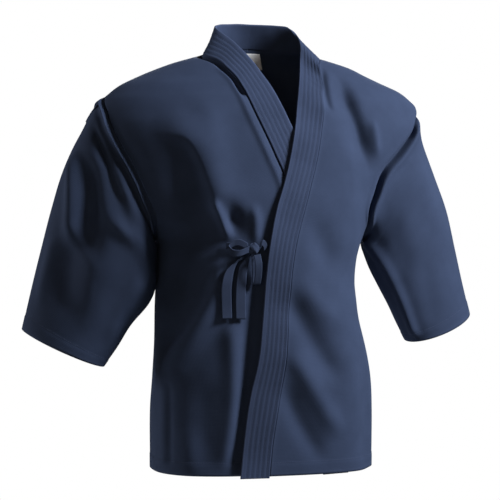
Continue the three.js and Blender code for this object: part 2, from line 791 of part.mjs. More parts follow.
const tieLeftTail = table(tapeNames, [
  [-59, -353, 3.6, 40],
  [-66, -368, 3.2, 22],
  [-70.5, -395, 4, 8],
  [-72, -425, 4.2, 0],
  [-71.5, -457, 4.2, -2],
])
const knotRound = 14
const knotHigh = 10
const tapeSteps = 12
const tapeAcross = 2

const tapeFoldedWide = { tie_left_lead: 10, tie_right_lead: 11, tie_right_loop: 11, tie_left_loop: 12 }

// One stretch of tape. In the bow the tape is folded lengthwise, so it is narrower there.
function tapeStretch(name, way) {
  const wide = tapeFoldedWide[name] ?? tapeWide
  const places = way.map((row, index) => ({ index, ...row }))
  const grid = []
  for (let i = 0; i <= tapeSteps; i += 1) {
    const index = (i / tapeSteps) * (places.length - 1)
    const read = (column) => along(places, 'index', column, index)
    const middle = onFront(-1, read('across'), read('level'), read('off'))
    const tilt = THREE.MathUtils.degToRad(read('lay'))
    const wideWay = new THREE.Vector3(Math.cos(tilt), 0, Math.sin(tilt))
    const points = []
    for (let j = 0; j <= tapeAcross; j += 1) {
      points.push(middle.clone().addScaledVector(wideWay, wide * (j / tapeAcross - 0.5)))
    }
    grid.push(points)
  }
  return named(name, wall(grid, tapeThick, 1), navyTape)
}

function tieKnot() {
  const knot = new THREE.SphereGeometry(1, knotRound, knotHigh)
  knot.scale(knotRadii.across, knotRadii.forward, knotRadii.up)
  knot.translate(...onFront(-1, knotPlace.across, knotPlace.level, knotPlace.off).toArray())
  return named('tie_knot', knot, navyTape)
}

// The neck label, a blank patch sewn flat inside the back below the collar.
const labelWide = 44
const labelTop = 13
const labelBottom = -15
const labelThick = 0.6
const labelSag = 1.6
function label() {
  const steps = 4
  const grid = []
  for (let i = 0; i <= steps; i += 1) {
    const level = THREE.MathUtils.lerp(labelBottom, labelTop, i / steps)
    const points = []
    for (let j = 0; j <= steps; j += 1) {
      const across = labelWide * (j / steps - 0.5)
      const angle = across < 0 ? angleAt(across, level, -1) - 2 * Math.PI : angleAt(across, level, -1)
      const place = Math.abs(across) < 1 ? -Math.PI / 2 : angle
      const inwards = -(clothThick + seamGap + labelSag)
      points.push(formPoint(place, level).addScaledVector(formNormal(place, level), inwards))
    }
    grid.push(points)
  }
  return named('label', wall(grid, labelThick, 1), white)
}

const group = new THREE.Group()
group.add(bodyHalf(-1), bodyHalf(1))
group.add(sleeve(-1), sleeve(1))
group.add(collar())
group.add(label())
group.add(tieKnot())
group.add(tapeStretch('tie_left_lead', tieLeftLead), tapeStretch('tie_right_lead', tieRightLead))
group.add(tapeStretch('tie_left_loop', tieLeftLoop), tapeStretch('tie_right_loop', tieRightLoop))
group.add(tapeStretch('tie_left_tail', tieLeftTail), tapeStretch('tie_right_tail', tieRightTail))
export default group
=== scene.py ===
import bpy
import numpy as np
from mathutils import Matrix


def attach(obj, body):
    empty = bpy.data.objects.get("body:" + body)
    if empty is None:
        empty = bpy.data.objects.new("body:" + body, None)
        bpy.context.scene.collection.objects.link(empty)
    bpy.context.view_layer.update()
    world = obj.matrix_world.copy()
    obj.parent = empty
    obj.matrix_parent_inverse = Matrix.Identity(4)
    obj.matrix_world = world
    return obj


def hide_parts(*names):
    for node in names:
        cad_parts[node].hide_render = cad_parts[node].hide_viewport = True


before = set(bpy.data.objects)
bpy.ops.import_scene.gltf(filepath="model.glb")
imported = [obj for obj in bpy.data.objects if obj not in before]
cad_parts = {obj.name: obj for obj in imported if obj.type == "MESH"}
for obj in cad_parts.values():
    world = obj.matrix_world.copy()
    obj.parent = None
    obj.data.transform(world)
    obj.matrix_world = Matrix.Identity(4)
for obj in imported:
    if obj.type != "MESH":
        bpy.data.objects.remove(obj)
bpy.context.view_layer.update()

# The camera stands level with the middle of the jacket, a little to the wearer's right of the front.
# Its lens and distance are those that the photograph's perspective gives.
lens_mm, sensor_mm = 102.86, 36
camera_turn = np.radians(15)
camera_place = (-0.6654, -2.4099, -0.343)
camera = bpy.data.objects.new("camera", bpy.data.cameras.new("camera"))
camera.data.lens = lens_mm
camera.data.sensor_width = sensor_mm
camera.location = camera_place
camera.rotation_euler = (np.pi / 2, 0, -camera_turn)
bpy.context.collection.objects.link(camera)
bpy.context.scene.camera = camera

# The two halves of the body. Each is one length of medium weight indigo cotton that runs from the front
# hem over the shoulder to the back hem, turned up and stitched at the hem, and sewn to its neighbours.
# Lengths are in millimetres up to the point where a mesh is made.
cloth_thick = 2.0
hem_level = -716
collar_end_level = -719
rows_front_low, rows_front_high, rows_shoulder, rows_back_high, rows_back_low = 104, 88, 24, 76, 100
columns_across = 110
to_metres = 0.001

# Pieces nearly touch at their seams, so that no light shows through.
seam_gap = 0.06
seam_points = 241

# The turned hem: its depth, how far it stands out, its stitches inside its edge, and the trough that they
# press into it.
hem_turned, hem_stands = 24, 0.7
hem_edge_inset, hem_edge_soft = 1, 2.5
stitch_inset, stitch_trough, stitch_trough_wide = 2, 0.9, 1.6
stitch_pitch, stitch_long, thread_thick, thread_raised = 4.2, 3.0, 0.8, 0.15
stitch_samples = 200

# The left front's rise over the right one at two levels, and where the rise starts and grows and where it
# ends across: each is a place and the length over which it changes.
overlap_lift_high, overlap_lift_low = 5.5, 11
lift_starts, lift_grows, lift_ends = (-70, 65), (-190, 190), (128, 44)

# level, right, left, front, back, middle, square
body_levels = np.array(
    [
        [22, 58, 60, -4, 88, 25, 2.1],
        [13, 75, 76, 0, 91, 25, 2.1],
        [6, 86, 88, 5, 93, 25, 2.1],
        [0, 96, 102, 10, 95, 25, 2.1],
        [-6, 113, 128, 17, 96, 25, 2.1],
        [-18, 152, 170, 30, 99, 26, 2.1],
        [-32, 188, 201, 44, 102, 27, 2.1],
        [-45, 217, 231, 55, 104, 28, 2.15],
        [-60, 246, 265, 68, 106, 28, 2.2],
        [-78, 268, 288, 80, 109, 28, 2.2],
        [-88, 277, 294, 86, 110, 28, 2.2],
        [-105, 286, 297, 94, 112, 28, 2.2],
        [-130, 288, 292, 102, 115, 27, 2.3],
        [-165, 278, 270, 112, 117, 25, 2.3],
        [-205, 260, 238, 119, 117, 22, 2.3],
        [-250, 238, 213, 127, 114, 15, 2.3],
        [-295, 208, 190, 131, 110, 6, 2.3],
        [-325, 186, 177, 133, 108, 0, 2.3],
        [-360, 185, 159, 135, 105, -5, 2.3],
        [-400, 187, 151, 136, 101, -10, 2.35],
        [-440, 189, 158, 136, 99, -13, 2.4],
        [-500, 190, 176, 136, 97, -15, 2.5],
        [-560, 193, 187, 136, 97, -15, 2.6],
        [-620, 197, 190, 135, 98, -15, 2.6],
        [hem_level, 196, 188, 135, 102, -15, 2.7],
    ],
    float,
)

# across and level on the wearer's right, then on the left
armhole_rows = np.array(
    [
        [268, -78, 294, -88],
        [276, -104, 285, -115],
        [271, -130, 268, -143],
        [256, -165, 239, -174],
        [235, -205, 209, -205],
        [216, -250, 192, -240],
        [198, -295, 179, -285],
        [186, -325, 178, -323],
    ],
    float,
)

# seam across, seam level, face, then the free edge's across, depth (nan where it lies) and level
lies = np.nan
collar_rows = {
    -1: np.array(
        [
            [72, collar_end_level, 1, 120, lies, collar_end_level],
            [69, -640, 1, 117, lies, -640],
            [62, -540, 1, 110, lies, -540],
            [52, -440, 1, 100, lies, -438],
            [39, -350, 1, 87, lies, -342],
            [24, -275, 1, 71, lies, -262],
            [9, -221, 1, 55, lies, -203],
            [-6, -184, 1, 38, lies, -163],
            [-19, -152, 1, 25, lies, -131],
            [-33, -118, 1, 12, lies, -97],
            [-44, -88, 1, 0, lies, -66],
            [-52, -66, 1, -10, lies, -44],
            [-60, -47, 1, -22, -36, -20],
            [-72, -30, 1, -36, -18, 2],
            [-84, -15, 1, -52, 4, 24],
            [-95, 0, 1, -73, 32, 48],
            [-82, 7, -1, -63, 54, 57],
            [-61, 13, -1, -44, 63, 60],
            [-33, 18, -1, -23, 67, 62],
            [0, 20, -1, 0, 68, 62],
        ],
        float,
    ),
    1: np.array(
        [
            [-25, collar_end_level, 1, -73, lies, collar_end_level],
            [-19, -658, 1, -66, lies, -656],
            [-8, -592, 1, -57, lies, -590],
            [3, -520, 1, -42, lies, -520],
            [8, -450, 1, -35, lies, -450],
            [12, -390, 1, -30, lies, -388],
            [20, -340, 1, -23, lies, -332],
            [34, -290, 1, -11, lies, -276],
            [48, -245, 1, 4, lies, -232],
            [61, -205, 1, 16, lies, -192],
            [73, -157, 1, 28, lies, -142],
            [83, -115, 1, 43, -76, -92],
            [91, -75, 1, 57, -42, -48],
            [99, -38, 1, 70, -3, -10],
            [101, -15, 1, 78, 22, 22],
            [93, 3, 1, 75, 40, 44],
            [87, 7, -1, 66, 56, 57],
            [64, 13, -1, 46, 64, 61],
            [34, 18, -1, 24, 67, 62],
            [0, 20, -1, 0, 68, 62],
        ],
        float,
    ),
}
side_neck_row = 15

# The folds of the body: face, the places that one runs through as across and level, its width, its height
# and its lean, which makes one flank steeper. They fade out where the form turns from front to back, below
# this sine of its angle. The solids have the larger ones too, some of them in slightly other places.
folds_full_from = 0.4
body_folds = [
    (1, [(-192, -146), (-152, -160), (-131, -194), (-114, -246), (-93, -290), (-74, -322)], 24, 12, -0.45),
    (1, [(-160, -190), (-156, -250), (-146, -340)], 34, -15, 0),
    (1, [(-176, -340), (-184, -430)], 26, -12, 0),
    (1, [(-98, -366), (-113, -418), (-129, -452), (-152, -490), (-174, -526), (-190, -566)], 17, 13, -0.25),
    (1, [(-117, -262), (-101, -292), (-89, -324)], 8, 10, 0),
    (1, [(-92, -264), (-83, -292), (-72, -320)], 18, -20, 0),
    (1, [(-47, -270), (-44, -300), (-45, -334)], 9, 5, 0),
    (1, [(-38, -372), (-50, -470), (-60, -560), (-70, -640), (-82, -706)], 15, -8, 0),
    (1, [(-86, -462), (-83, -600), (-96, -700)], 15, 6, 0),
    (1, [(-128, -560), (-134, -700)], 22, -4, 0),
    (1, [(-187, -510), (-189, -704)], 6, 3.5, 0),
    (1, [(-180, -560), (-180, -700)], 4, -2.5, 0),
    (1, [(-120, -86), (-106, -190)], 24, 4, 0),
    (1, [(128, -50), (140, -98), (153, -144), (166, -196)], 22, -16, 0.4),
    (1, [(178, -120), (186, -180)], 8, 4, 0),
    (1, [(103, -26), (98, -60), (100, -104)], 8, -6, 0.2),
    (1, [(48, -290), (72, -340), (94, -390)], 24, -7, 0),
    (1, [(24, -392), (52, -428), (98, -478)], 20, 5, 0),
    (1, [(8, -420), (34, -470), (66, -520), (96, -562)], 20, -8, 0),
    (1, [(10, -512), (38, -556), (70, -612), (94, -650)], 18, 8, 0),
    (1, [(4, -566), (16, -610), (40, -654), (66, -694)], 17, -6, 0),
    (1, [(130, -440), (148, -560), (146, -700)], 22, -5, 0),
    (1, [(-150, -640), (-152, -716)], 18, 4, 0),
    (-1, [(-120, -180), (-90, -420)], 26, 8, 0),
    (-1, [(118, -170), (96, -400)], 24, 8, 0),
    (-1, [(-60, -300), (-78, -700)], 24, -8, 0),
    (-1, [(62, -330), (84, -700)], 26, -8, 0),
    (-1, [(0, -420), (6, -710)], 24, 7, 0),
]


def along(at, knots, values):
    """A cubic through every row of values, whose slope at a row is that between the row's neighbours."""
    knots = np.asarray(knots, float)
    values = np.asarray(values, float)
    if knots[-1] < knots[0]:
        knots, values = knots[::-1], values[::-1]
    at = np.asarray(at, float)
    tail = (1,) * (values.ndim - 1)
    slopes = np.empty_like(values)
    slopes[1:-1] = (values[2:] - values[:-2]) / (knots[2:] - knots[:-2]).reshape(-1, *tail)
    slopes[0] = (values[1] - values[0]) / (knots[1] - knots[0])
    slopes[-1] = (values[-1] - values[-2]) / (knots[-1] - knots[-2])
    k = np.clip(np.searchsorted(knots, at, side="right") - 1, 0, len(knots) - 2)
    span = (knots[k + 1] - knots[k]).reshape(at.shape + tail)
    u = np.clip((at - knots[k]) / (knots[k + 1] - knots[k]), 0, 1).reshape(at.shape + tail)
    v = 1 - u
    ends = values[k] * v * v * (1 + 2 * u) + values[k + 1] * u * u * (1 + 2 * v)
    return ends + span * u * v * (slopes[k] * v - slopes[k + 1] * u)


def smooth(share):
    """The soft step 3s^2 - 2s^3 of a share held between 0 and 1."""
    s = np.clip(share, 0, 1)
    return s * s * (3 - 2 * s)


def bell(distance, wide):
    """The rounded hump exp(-(distance / wide)^2)."""
    return np.exp(-((distance / wide) ** 2))


def body_section(level):
    """Half widths, depths from the widest line, that line and the power of the section at each level."""
    section = along(level, body_levels[:, 0], body_levels[:, 1:])
    right, left, front, back, middle, square = np.moveaxis(section, -1, 0)
    return right, left, front + middle, back - middle, middle, square


def form_point(angle, level):
    """The body's form: at an angle the reach r solves |r cos / half|^n + |r sin / deep|^n = 1.
    Angle 0 is the wearer's left side, a quarter turn the front and a half turn the right side."""
    right, left, front, back, middle, power = body_section(level)
    across, forward = np.cos(angle), np.sin(angle)
    half = np.where(across < 0, right, left)
    deep = np.where(forward > 0, front, back)
    reach = (np.abs(across / half) ** power + np.abs(forward / deep) ** power) ** (-1 / power)
    return np.stack([reach * across, middle - reach * forward, level + 0 * reach], -1)


def angle_at(across, level, face):
    """The angle where the form has a distance across: forward = deep (1 - |across / half|^n)^(1/n)."""
    right, left, front, back, _, power = body_section(level)
    half = np.where(across < 0, right, left)
    deep = np.where(face > 0, front, back)
    share = np.minimum(1, np.abs(across) / half)
    forward = face * deep * (1 - share**power) ** (1 / power)
    angle = np.arctan2(forward, across)
    return np.where((across < 0) & (face < 0), angle + 2 * np.pi, angle)


def unit(vectors):
    """Each vector over its own length."""
    return vectors / np.maximum(np.linalg.norm(vectors, axis=-1, keepdims=True), 1e-12)


def form_normal(angle, level):
    """The cross product of the steps up the form and round it, which points outwards."""
    around = form_point(angle + 0.01, level) - form_point(angle - 0.01, level)
    up = form_point(angle, level + 1.0) - form_point(angle, level - 1.0)
    return unit(np.cross(up, around))


def fold_height(x, y, path, wide, height, lean):
    """height * exp(-(d / w)^2) for the distance d from a smooth path, with soft ends, w wider on one side."""
    path = np.array(path, float)
    if len(path) > 2:
        path = along(np.linspace(0, len(path) - 1, 8 * len(path)), np.arange(len(path)), path)
    result = np.zeros(np.shape(x))
    margin = 3.2 * wide
    low, high = path.min(0) - margin, path.max(0) + margin
    near = (x > low[0]) & (x < high[0]) & (y > low[1]) & (y < high[1])
    if not near.any():
        return result
    spot = np.stack([x[near], y[near]], -1)
    run = np.diff(path, axis=0)
    length = np.linalg.norm(run, axis=1)
    before = np.concatenate([[0], np.cumsum(length)])
    best = np.full(len(spot), np.inf)
    aside = np.zeros(len(spot))
    share = np.zeros(len(spot))
    for k in range(len(run)):
        off = spot - path[k]
        t = off @ run[k] / length[k] ** 2
        lowest = -np.inf if k == 0 else 0
        highest = np.inf if k == len(run) - 1 else 1
        t = np.clip(t, lowest, highest)
        gap = off - t[:, None] * run[k]
        distance = np.linalg.norm(gap, axis=1)
        side = np.sign(off[:, 0] * run[k][1] - off[:, 1] * run[k][0])
        closer = distance < best
        best = np.where(closer, distance, best)
        aside = np.where(closer, side * distance, aside)
        share = np.where(closer, (before[k] + t * length[k]) / before[-1], share)
    taper = wide / before[-1]
    ends = smooth((share + taper) / (3 * taper)) * smooth((1 + taper - share) / (3 * taper))
    result[near] = height * ends * bell(aside, wide * (1 + lean * np.sign(aside)))
    return result


def body_fold(point, face):
    """The sum of all folds on one face of the body."""
    total = np.zeros(point.shape[:-1])
    for on, path, wide, height, lean in body_folds:
        total += np.where(face == on, fold_height(point[..., 0], point[..., 2], path, wide, height, lean), 0)
    return total


def left_lift(point):
    """How far the left front is raised over the right one and its collar."""
    level = point[..., 2]
    sideways = 1 - smooth((point[..., 0] - lift_ends[0]) / lift_ends[1])
    grown = smooth((lift_grows[0] - level) / lift_grows[1])
    lift = overlap_lift_high + (overlap_lift_low - overlap_lift_high) * grown
    return lift * sideways * smooth((lift_starts[0] - level) / lift_starts[1])


def cloth_point(side, angle, level, extra=0):
    """The form moved out by its folds, by the overlap on the left front, and by anything extra."""
    point = form_point(angle, level)
    face = np.where(np.sin(angle) > 0, 1, -1)
    height = body_fold(point, face) * smooth(np.abs(np.sin(angle)) / folds_full_from) + extra
    if side > 0:
        height = height + np.where(face > 0, left_lift(point), 0)
    return point + form_normal(angle, level) * height[..., None]


def seam_line(place_at):
    """A seam as rows of index, angle, level and distance run, from a function of a share from 0 to 1."""
    index, angle, level = place_at(np.linspace(0, 1, seam_points))
    steps = np.linalg.norm(np.diff(form_point(angle, level), axis=0), axis=1)
    return np.stack([index, angle, level, np.concatenate([[0], np.cumsum(steps)])], 1)


def place_on(seam, share):
    """Index, angle and level at a share of a seam's length."""
    return along(np.asarray(share) * seam[-1, 3], seam[:, 3], seam[:, :3])


def side_angle(side):
    """The angle of a side seam: a half turn on the right, 0 on the left."""
    return np.pi if side < 0 else 0.0


def back_angle(side):
    """The angle of the centre back, reached from the right side or from the left."""
    return 1.5 * np.pi if side < 0 else -0.5 * np.pi


def collar_places(side):
    """Angle and level of a collar seam at each row of its table."""
    rows = collar_rows[side]
    angle = angle_at(rows[:, 0], rows[:, 1], rows[:, 2])
    angle[side_neck_row] = side_angle(side)
    angle[-1] = back_angle(side)
    return np.stack([angle, rows[:, 1]], 1)


def collar_seam(side, start, end):
    """A stretch of a collar seam between two row numbers of its table."""
    places = collar_places(side)

    def place(share):
        index = start + (end - start) * share
        angle, level = along(index, np.arange(len(places)), places).T
        return index, angle, level

    return seam_line(place)


def armhole_seam(side, face):
    """The armhole's half on one face, from the shoulder to the armpit."""
    across, level = (armhole_rows[:, :2] if side < 0 else armhole_rows[:, 2:]).T
    angle = angle_at(side * across, level, face)
    angle[0] = angle[-1] = side_angle(side)

    def place(share):
        index = share * (len(level) - 1)
        return index, *along(index, np.arange(len(level)), np.stack([angle, level], 1)).T

    return seam_line(place)


def armhole_levels(side):
    """The levels of an armhole's rows, from the shoulder down to the armpit."""
    return armhole_rows[:, 1 if side < 0 else 3]


# Rises and hollows beside the armhole seam: distance from it, width and height. They start a little above
# the shoulder's end of the seam and fade over their own length there and at the armpit.
body_side_relief = {-1: [(0, 2.6, -3.5), (5, 2.6, 0.8)], 1: [(0, 5, -18), (14, 9, 4)]}
shoulder_margin, shoulder_fade, armpit_fade = 4, 16, 36

# The same beside the right collar, and the levels between which they stand, each with its fade.
collar_side_relief, collar_relief_span = [(0, 3, -1.6), (13, 6, 2.4)], (-330, 60, -20, 20)
collar_side_hollow, collar_hollow_span = [(6, 4.6, -11)], (-86, 22, 6, 12)


def beside_seam(humps, distance):
    """The sum of height * exp(-((distance - at) / wide)^2)."""
    return sum(high * bell(distance - at, wide) for at, wide, high in humps)


def between(level, low, low_fade, high, high_fade):
    """1 between two levels, falling to 0 at both by soft steps inside them."""
    return smooth((level - low) / low_fade) * smooth((high - level) / high_fade)


def beside_armhole(side, humps, distance, level):
    """The rises and hollows beside the armhole seam, held to 0 at the shoulder and the armpit."""
    levels = armhole_levels(side)
    hold = between(level, levels[-1], armpit_fade, levels[0] + shoulder_margin, shoulder_fade)
    return hold * beside_seam(humps, distance)


def beside_collar(side, distance, level, at_front):
    """The rise along the right collar, and the deep hollow where the cloth falls away under its neck end."""
    if side > 0:
        return 0 * distance
    rise = between(level, *collar_relief_span) * beside_seam(collar_side_relief, distance)
    fall = between(level, *collar_hollow_span) * beside_seam(collar_side_hollow, distance)
    return at_front[:, None] * (rise + fall)


def collar_row_at(side, level):
    """The row number where a collar seam on the front passes a level, found by halving."""
    places = collar_places(side)
    low, high = 0.0, float(side_neck_row)
    for _ in range(40):
        half = (low + high) / 2
        if along(half, np.arange(len(places)), places[:, 1]) < level:
            low = half
        else:
            high = half
    return low


def neck_edges(side):
    """The collar seam in three: from the hem to the armpit's level, to the side neck and to the back."""
    armpit_row = collar_row_at(side, armhole_levels(side)[-1])
    return (
        collar_seam(side, collar_row_at(side, hem_level), armpit_row),
        collar_seam(side, armpit_row, side_neck_row),
        collar_seam(side, side_neck_row, len(collar_rows[side]) - 1),
    )


def body_half(side):
    """Rows from the front hem over the shoulder to the back hem, columns from the collar seam or the centre
    back to the side seam or the armhole, each row even in angle and level between its two ends."""
    low_edge, high_edge, neck_edge = neck_edges(side)
    front_hole, back_hole = armhole_seam(side, 1), armhole_seam(side, -1)
    armpit = armhole_levels(side)[-1]
    back_neck = collar_rows[side][-1, 1]
    back_share = rows_shoulder / (rows_shoulder + rows_back_high)
    middle, outside = back_angle(side), side_angle(side)

    def straight(angle, start, end):
        return lambda s: np.stack([angle + 0 * s, start + (end - start) * s], 1)

    def on(seam, start, end):
        return lambda s: place_on(seam, start + (end - start) * s)[:, 1:]

    stretches = [
        (rows_front_low, on(low_edge, 0, 1), straight(outside, hem_level, armpit)),
        (rows_front_high, on(high_edge, 0, 1), on(front_hole, 1, 0)),
        (rows_shoulder, on(neck_edge, 0, 1), on(back_hole, 0, back_share)),
        (rows_back_high, straight(middle, back_neck, armpit), on(back_hole, back_share, 1)),
        (rows_back_low, straight(middle, armpit, hem_level), straight(outside, armpit, hem_level)),
    ]
    inner, outer, stretch = [], [], []
    for k, (count, inner_at, outer_at) in enumerate(stretches):
        s = np.linspace(0, 1, count + 1)[0 if k == 0 else 1 :]
        inner.append(inner_at(s))
        outer.append(outer_at(s))
        stretch.append(np.full(len(s), k))
    inner, outer, stretch = (np.concatenate(rows) for rows in (inner, outer, stretch))
    share = np.linspace(0, 1, columns_across + 1)
    place = inner[:, None] + (outer - inner)[:, None] * share[None, :, None]
    angle, level = place[..., 0], place[..., 1]
    steps = np.linalg.norm(np.diff(form_point(angle, level), axis=1), axis=2)
    to_hole = np.concatenate([np.cumsum(steps[:, ::-1], 1)[:, ::-1], 0 * steps[:, :1]], 1)
    relief = turned_edge(level - hem_level, hem_turned)
    crease = beside_armhole(side, body_side_relief[side], to_hole, level[:, -1:])
    if side < 0:
        relief += crease
    at_front = stretch <= 1
    to_collar = np.concatenate([0 * steps[:, :1], np.cumsum(steps, 1)], 1)
    relief += beside_collar(side, to_collar, level[:, :1], at_front)
    grid = cloth_point(side, angle, level, relief)
    if side > 0:
        grid[..., 1] += crease * np.where(at_front, -1, 1)[:, None]
    # Half a gap at the side seam, on the front and on the back, and at the centre back seam.
    front_or_back = np.where(stretch == 0, -1, np.where(stretch == 4, 1, 0))
    grid[:, -1, 1] += front_or_back * seam_gap / 2
    grid[:, 0, 0] += np.where(stretch >= 3, side * seam_gap / 2, 0)
    return grid, form_normal(angle, level)


def turned_edge(distance, turned):
    """The cloth turned up at an edge stands proud up to its stitching, where a small trough lies."""
    edge = 1 - smooth((distance - turned + hem_edge_inset) / hem_edge_soft)
    return hem_stands * edge - stitch_trough * bell(distance - turned + stitch_inset, stitch_trough_wide)


def grid_uv(grid, wrap):
    """Distances in metres along the rows and down the columns, so that a weave keeps its size."""
    closed = np.concatenate([grid, grid[:, :1]], 1) if wrap else grid
    over = np.linalg.norm(np.diff(closed, axis=1), axis=2)
    down = np.linalg.norm(np.diff(closed, axis=0), axis=2).mean(1)
    u = np.concatenate([np.zeros((len(grid), 1)), np.cumsum(over, 1)], 1)
    v = np.concatenate([[0], np.cumsum(down)])
    return np.stack([u, np.broadcast_to(v[:, None], u.shape)], -1) * to_metres


def sewn_piece(mesh, material):
    """An object of the mesh's name at the origin, smooth shaded, that stays with the jacket."""
    mesh.polygons.foreach_set("use_smooth", np.ones(len(mesh.polygons), bool))
    mesh.materials.append(material)
    piece = bpy.data.objects.new(mesh.name, mesh)
    bpy.context.collection.objects.link(piece)
    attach(piece, "root")
    return piece


def cloth_piece(name, grid, outward, wear, material, wrap=False, cap=False):
    """A mesh of quads from a grid of points in millimetres, turned so that its faces point along outward.
    With wrap its columns close on themselves, and with cap its two end rings are filled."""
    rows, columns = grid.shape[:2]
    index = np.arange(rows * columns).reshape(rows, columns)
    right = np.roll(index, -1, 1) if wrap else index[:, 1:]
    left = index if wrap else index[:, :-1]
    quads = np.stack([left[:-1], left[1:], right[1:], right[:-1]], -1).reshape(-1, 4)
    uv = grid_uv(grid, wrap)
    uv_index = np.arange(uv.shape[0] * uv.shape[1]).reshape(uv.shape[:2])
    uv_left, uv_right = uv_index[:, :-1], uv_index[:, 1:]
    uv_quads = np.stack([uv_left[:-1], uv_left[1:], uv_right[1:], uv_right[:-1]], -1).reshape(-1, 4)
    points = grid.reshape(-1, 3)
    corner = points[quads]
    normal = np.cross(corner[:, 2] - corner[:, 0], corner[:, 3] - corner[:, 1])
    order = -1 if (normal * outward.reshape(-1, 3)[quads[:, 0]]).sum() < 0 else 1
    faces = quads[:, ::order].tolist()
    texture = uv_quads[:, ::order].reshape(-1)
    if cap:
        near = np.arange(columns // 2)
        far = (columns - near) % columns
        for end, way in ((index[0], order), (index[-1], -order)):
            lid = np.stack([end[near], end[near + 1], end[far - 1], end[far]], -1)[:, ::way]
            # The first and last of these have two corners in one place, which count once.
            filled = [list(dict.fromkeys(corners)) for corners in lid.tolist()]
            faces += filled
            texture = np.concatenate([texture, np.zeros(sum(map(len, filled)), int)])
    mesh = bpy.data.meshes.new(name)
    mesh.from_pydata((points * to_metres).tolist(), [], faces)
    layer = mesh.uv_layers.new(name="cloth")
    layer.data.foreach_set("uv", uv.reshape(-1, 2)[texture].astype(np.float32).reshape(-1))
    attribute = mesh.attributes.new("wear", "FLOAT", "POINT")
    attribute.data.foreach_set("value", wear.reshape(-1).astype(np.float32))
    mesh.validate()
    return sewn_piece(mesh, material)


def thicken(piece, thick):
    """Gives a one-sided sheet its thickness on the inside."""
    wall = piece.modifiers.new("thickness", "SOLIDIFY")
    wall.thickness = thick * to_metres
    wall.offset = -1


def linear(hex_colour):
    """An sRGB hex value as linear red, green, blue and alpha."""
    channels = np.array([int(hex_colour[k : k + 2], 16) for k in (1, 3, 5)]) / 255
    light = np.where(channels <= 0.04045, channels / 12.92, ((channels + 0.055) / 1.055) ** 2.4)
    return (*light.tolist(), 1.0)


def put(tree, kind, inputs=None, **settings):
    """Adds a node, sets its settings, and gives each named input a value or a link."""
    node = tree.nodes.new(kind)
    for name, value in settings.items():
        setattr(node, name, value)
    for name, value in (inputs or {}).items():
        if isinstance(value, bpy.types.NodeSocket):
            tree.links.new(value, node.inputs[name])
        else:
            node.inputs[name].default_value = value
    return node


# Per metre: the tone is uneven in patches of about 45 mm, and the yarn in slubs of about 2.4 mm.
tone_scale, slub_scale = 22.0, 420.0
weave_depth = 0.0006


def woven_cotton(name, deep, pale, worn, thread, bump):
    """Woven cotton, yarn dyed with indigo: matt, with a faint nap, uneven in tone, and paler at its edges.
    Two waves make the weave, drawn coarser than the real one to show. Their period is 0.1 pi / scale."""
    material = bpy.data.materials.new(name)
    material.use_nodes = True
    tree = material.node_tree
    tree.nodes.clear()
    out = tree.nodes.new("ShaderNodeOutputMaterial")
    uv = put(tree, "ShaderNodeUVMap", uv_map="cloth").outputs["UV"]
    place = put(tree, "ShaderNodeTexCoord").outputs["Object"]
    scale = 0.1 * np.pi / (thread * to_metres)
    warp, weft = [
        put(
            tree,
            "ShaderNodeTexWave",
            {"Vector": uv, "Scale": scale, "Distortion": 0.6, "Detail": 1.0},
            wave_type="BANDS",
            bands_direction=direction,
        ).outputs["Fac"]
        for direction in ("X", "Y")
    ]
    weave = put(tree, "ShaderNodeMath", {0: warp, 1: weft}, operation="MULTIPLY")
    tone = put(
        tree,
        "ShaderNodeTexNoise",
        {"Vector": place, "Scale": tone_scale, "Detail": 5.0, "Roughness": 0.62},
    )
    slub = put(
        tree,
        "ShaderNodeTexNoise",
        {"Vector": uv, "Scale": slub_scale, "Detail": 2.0, "Roughness": 0.5},
    ).outputs["Fac"]
    shade = put(
        tree,
        "ShaderNodeMapRange",
        {"Value": tone.outputs["Fac"], "From Min": 0.3, "From Max": 0.7, "To Min": 0.22, "To Max": 0.5},
    )
    threads = put(tree, "ShaderNodeMath", {0: weave.outputs["Value"], 1: slub}, operation="MULTIPLY")
    amount = put(
        tree,
        "ShaderNodeMath",
        {0: threads.outputs["Value"], 1: 0.55, 2: shade.outputs["Result"]},
        operation="MULTIPLY_ADD",
        use_clamp=True,
    )
    dyed = put(
        tree,
        "ShaderNodeMix",
        {"Factor": amount.outputs["Value"], "A": linear(deep), "B": linear(pale)},
        data_type="RGBA",
    )
    wear = put(tree, "ShaderNodeAttribute", attribute_name="wear").outputs["Fac"]
    rubbed = put(tree, "ShaderNodeMath", {0: wear, 1: slub}, operation="MULTIPLY")
    colour = put(
        tree,
        "ShaderNodeMix",
        {"Factor": rubbed.outputs["Value"], "A": dyed.outputs["Result"], "B": linear(worn)},
        data_type="RGBA",
    )
    relief = put(
        tree,
        "ShaderNodeBump",
        {"Height": threads.outputs["Value"], "Strength": bump, "Distance": weave_depth},
    )
    shader = put(
        tree,
        "ShaderNodeBsdfPrincipled",
        {
            "Base Color": colour.outputs["Result"],
            "Roughness": 0.88,
            "Sheen Weight": 0.04,
            "Sheen Roughness": 0.5,
            "Sheen Tint": linear("#9fb0cc"),
            "Specular IOR Level": 0.1,
            "Normal": relief.outputs["Normal"],
        },
    )
    tree.links.new(shader.outputs["BSDF"], out.inputs["Surface"])
    return material


# Plain weave cotton: dark blue grey, with hardly a shine and paler only where its edges are rubbed.
indigo_cotton = woven_cotton(
    "indigo_plain_weave_cotton", "#2a3448", "#3b475f", "#4e5c78", thread=2.2, bump=0.3
)
rubbed_reach, rubbed_share = 5, 0.35


def run_along(grid, axis):
    """The distance run from a grid's first row or column along its rows or columns."""
    steps = np.linalg.norm(np.diff(grid, axis=axis), axis=2)
    return np.concatenate([np.zeros_like(np.take(grid[..., 0], [0], axis)), np.cumsum(steps, axis)], axis)


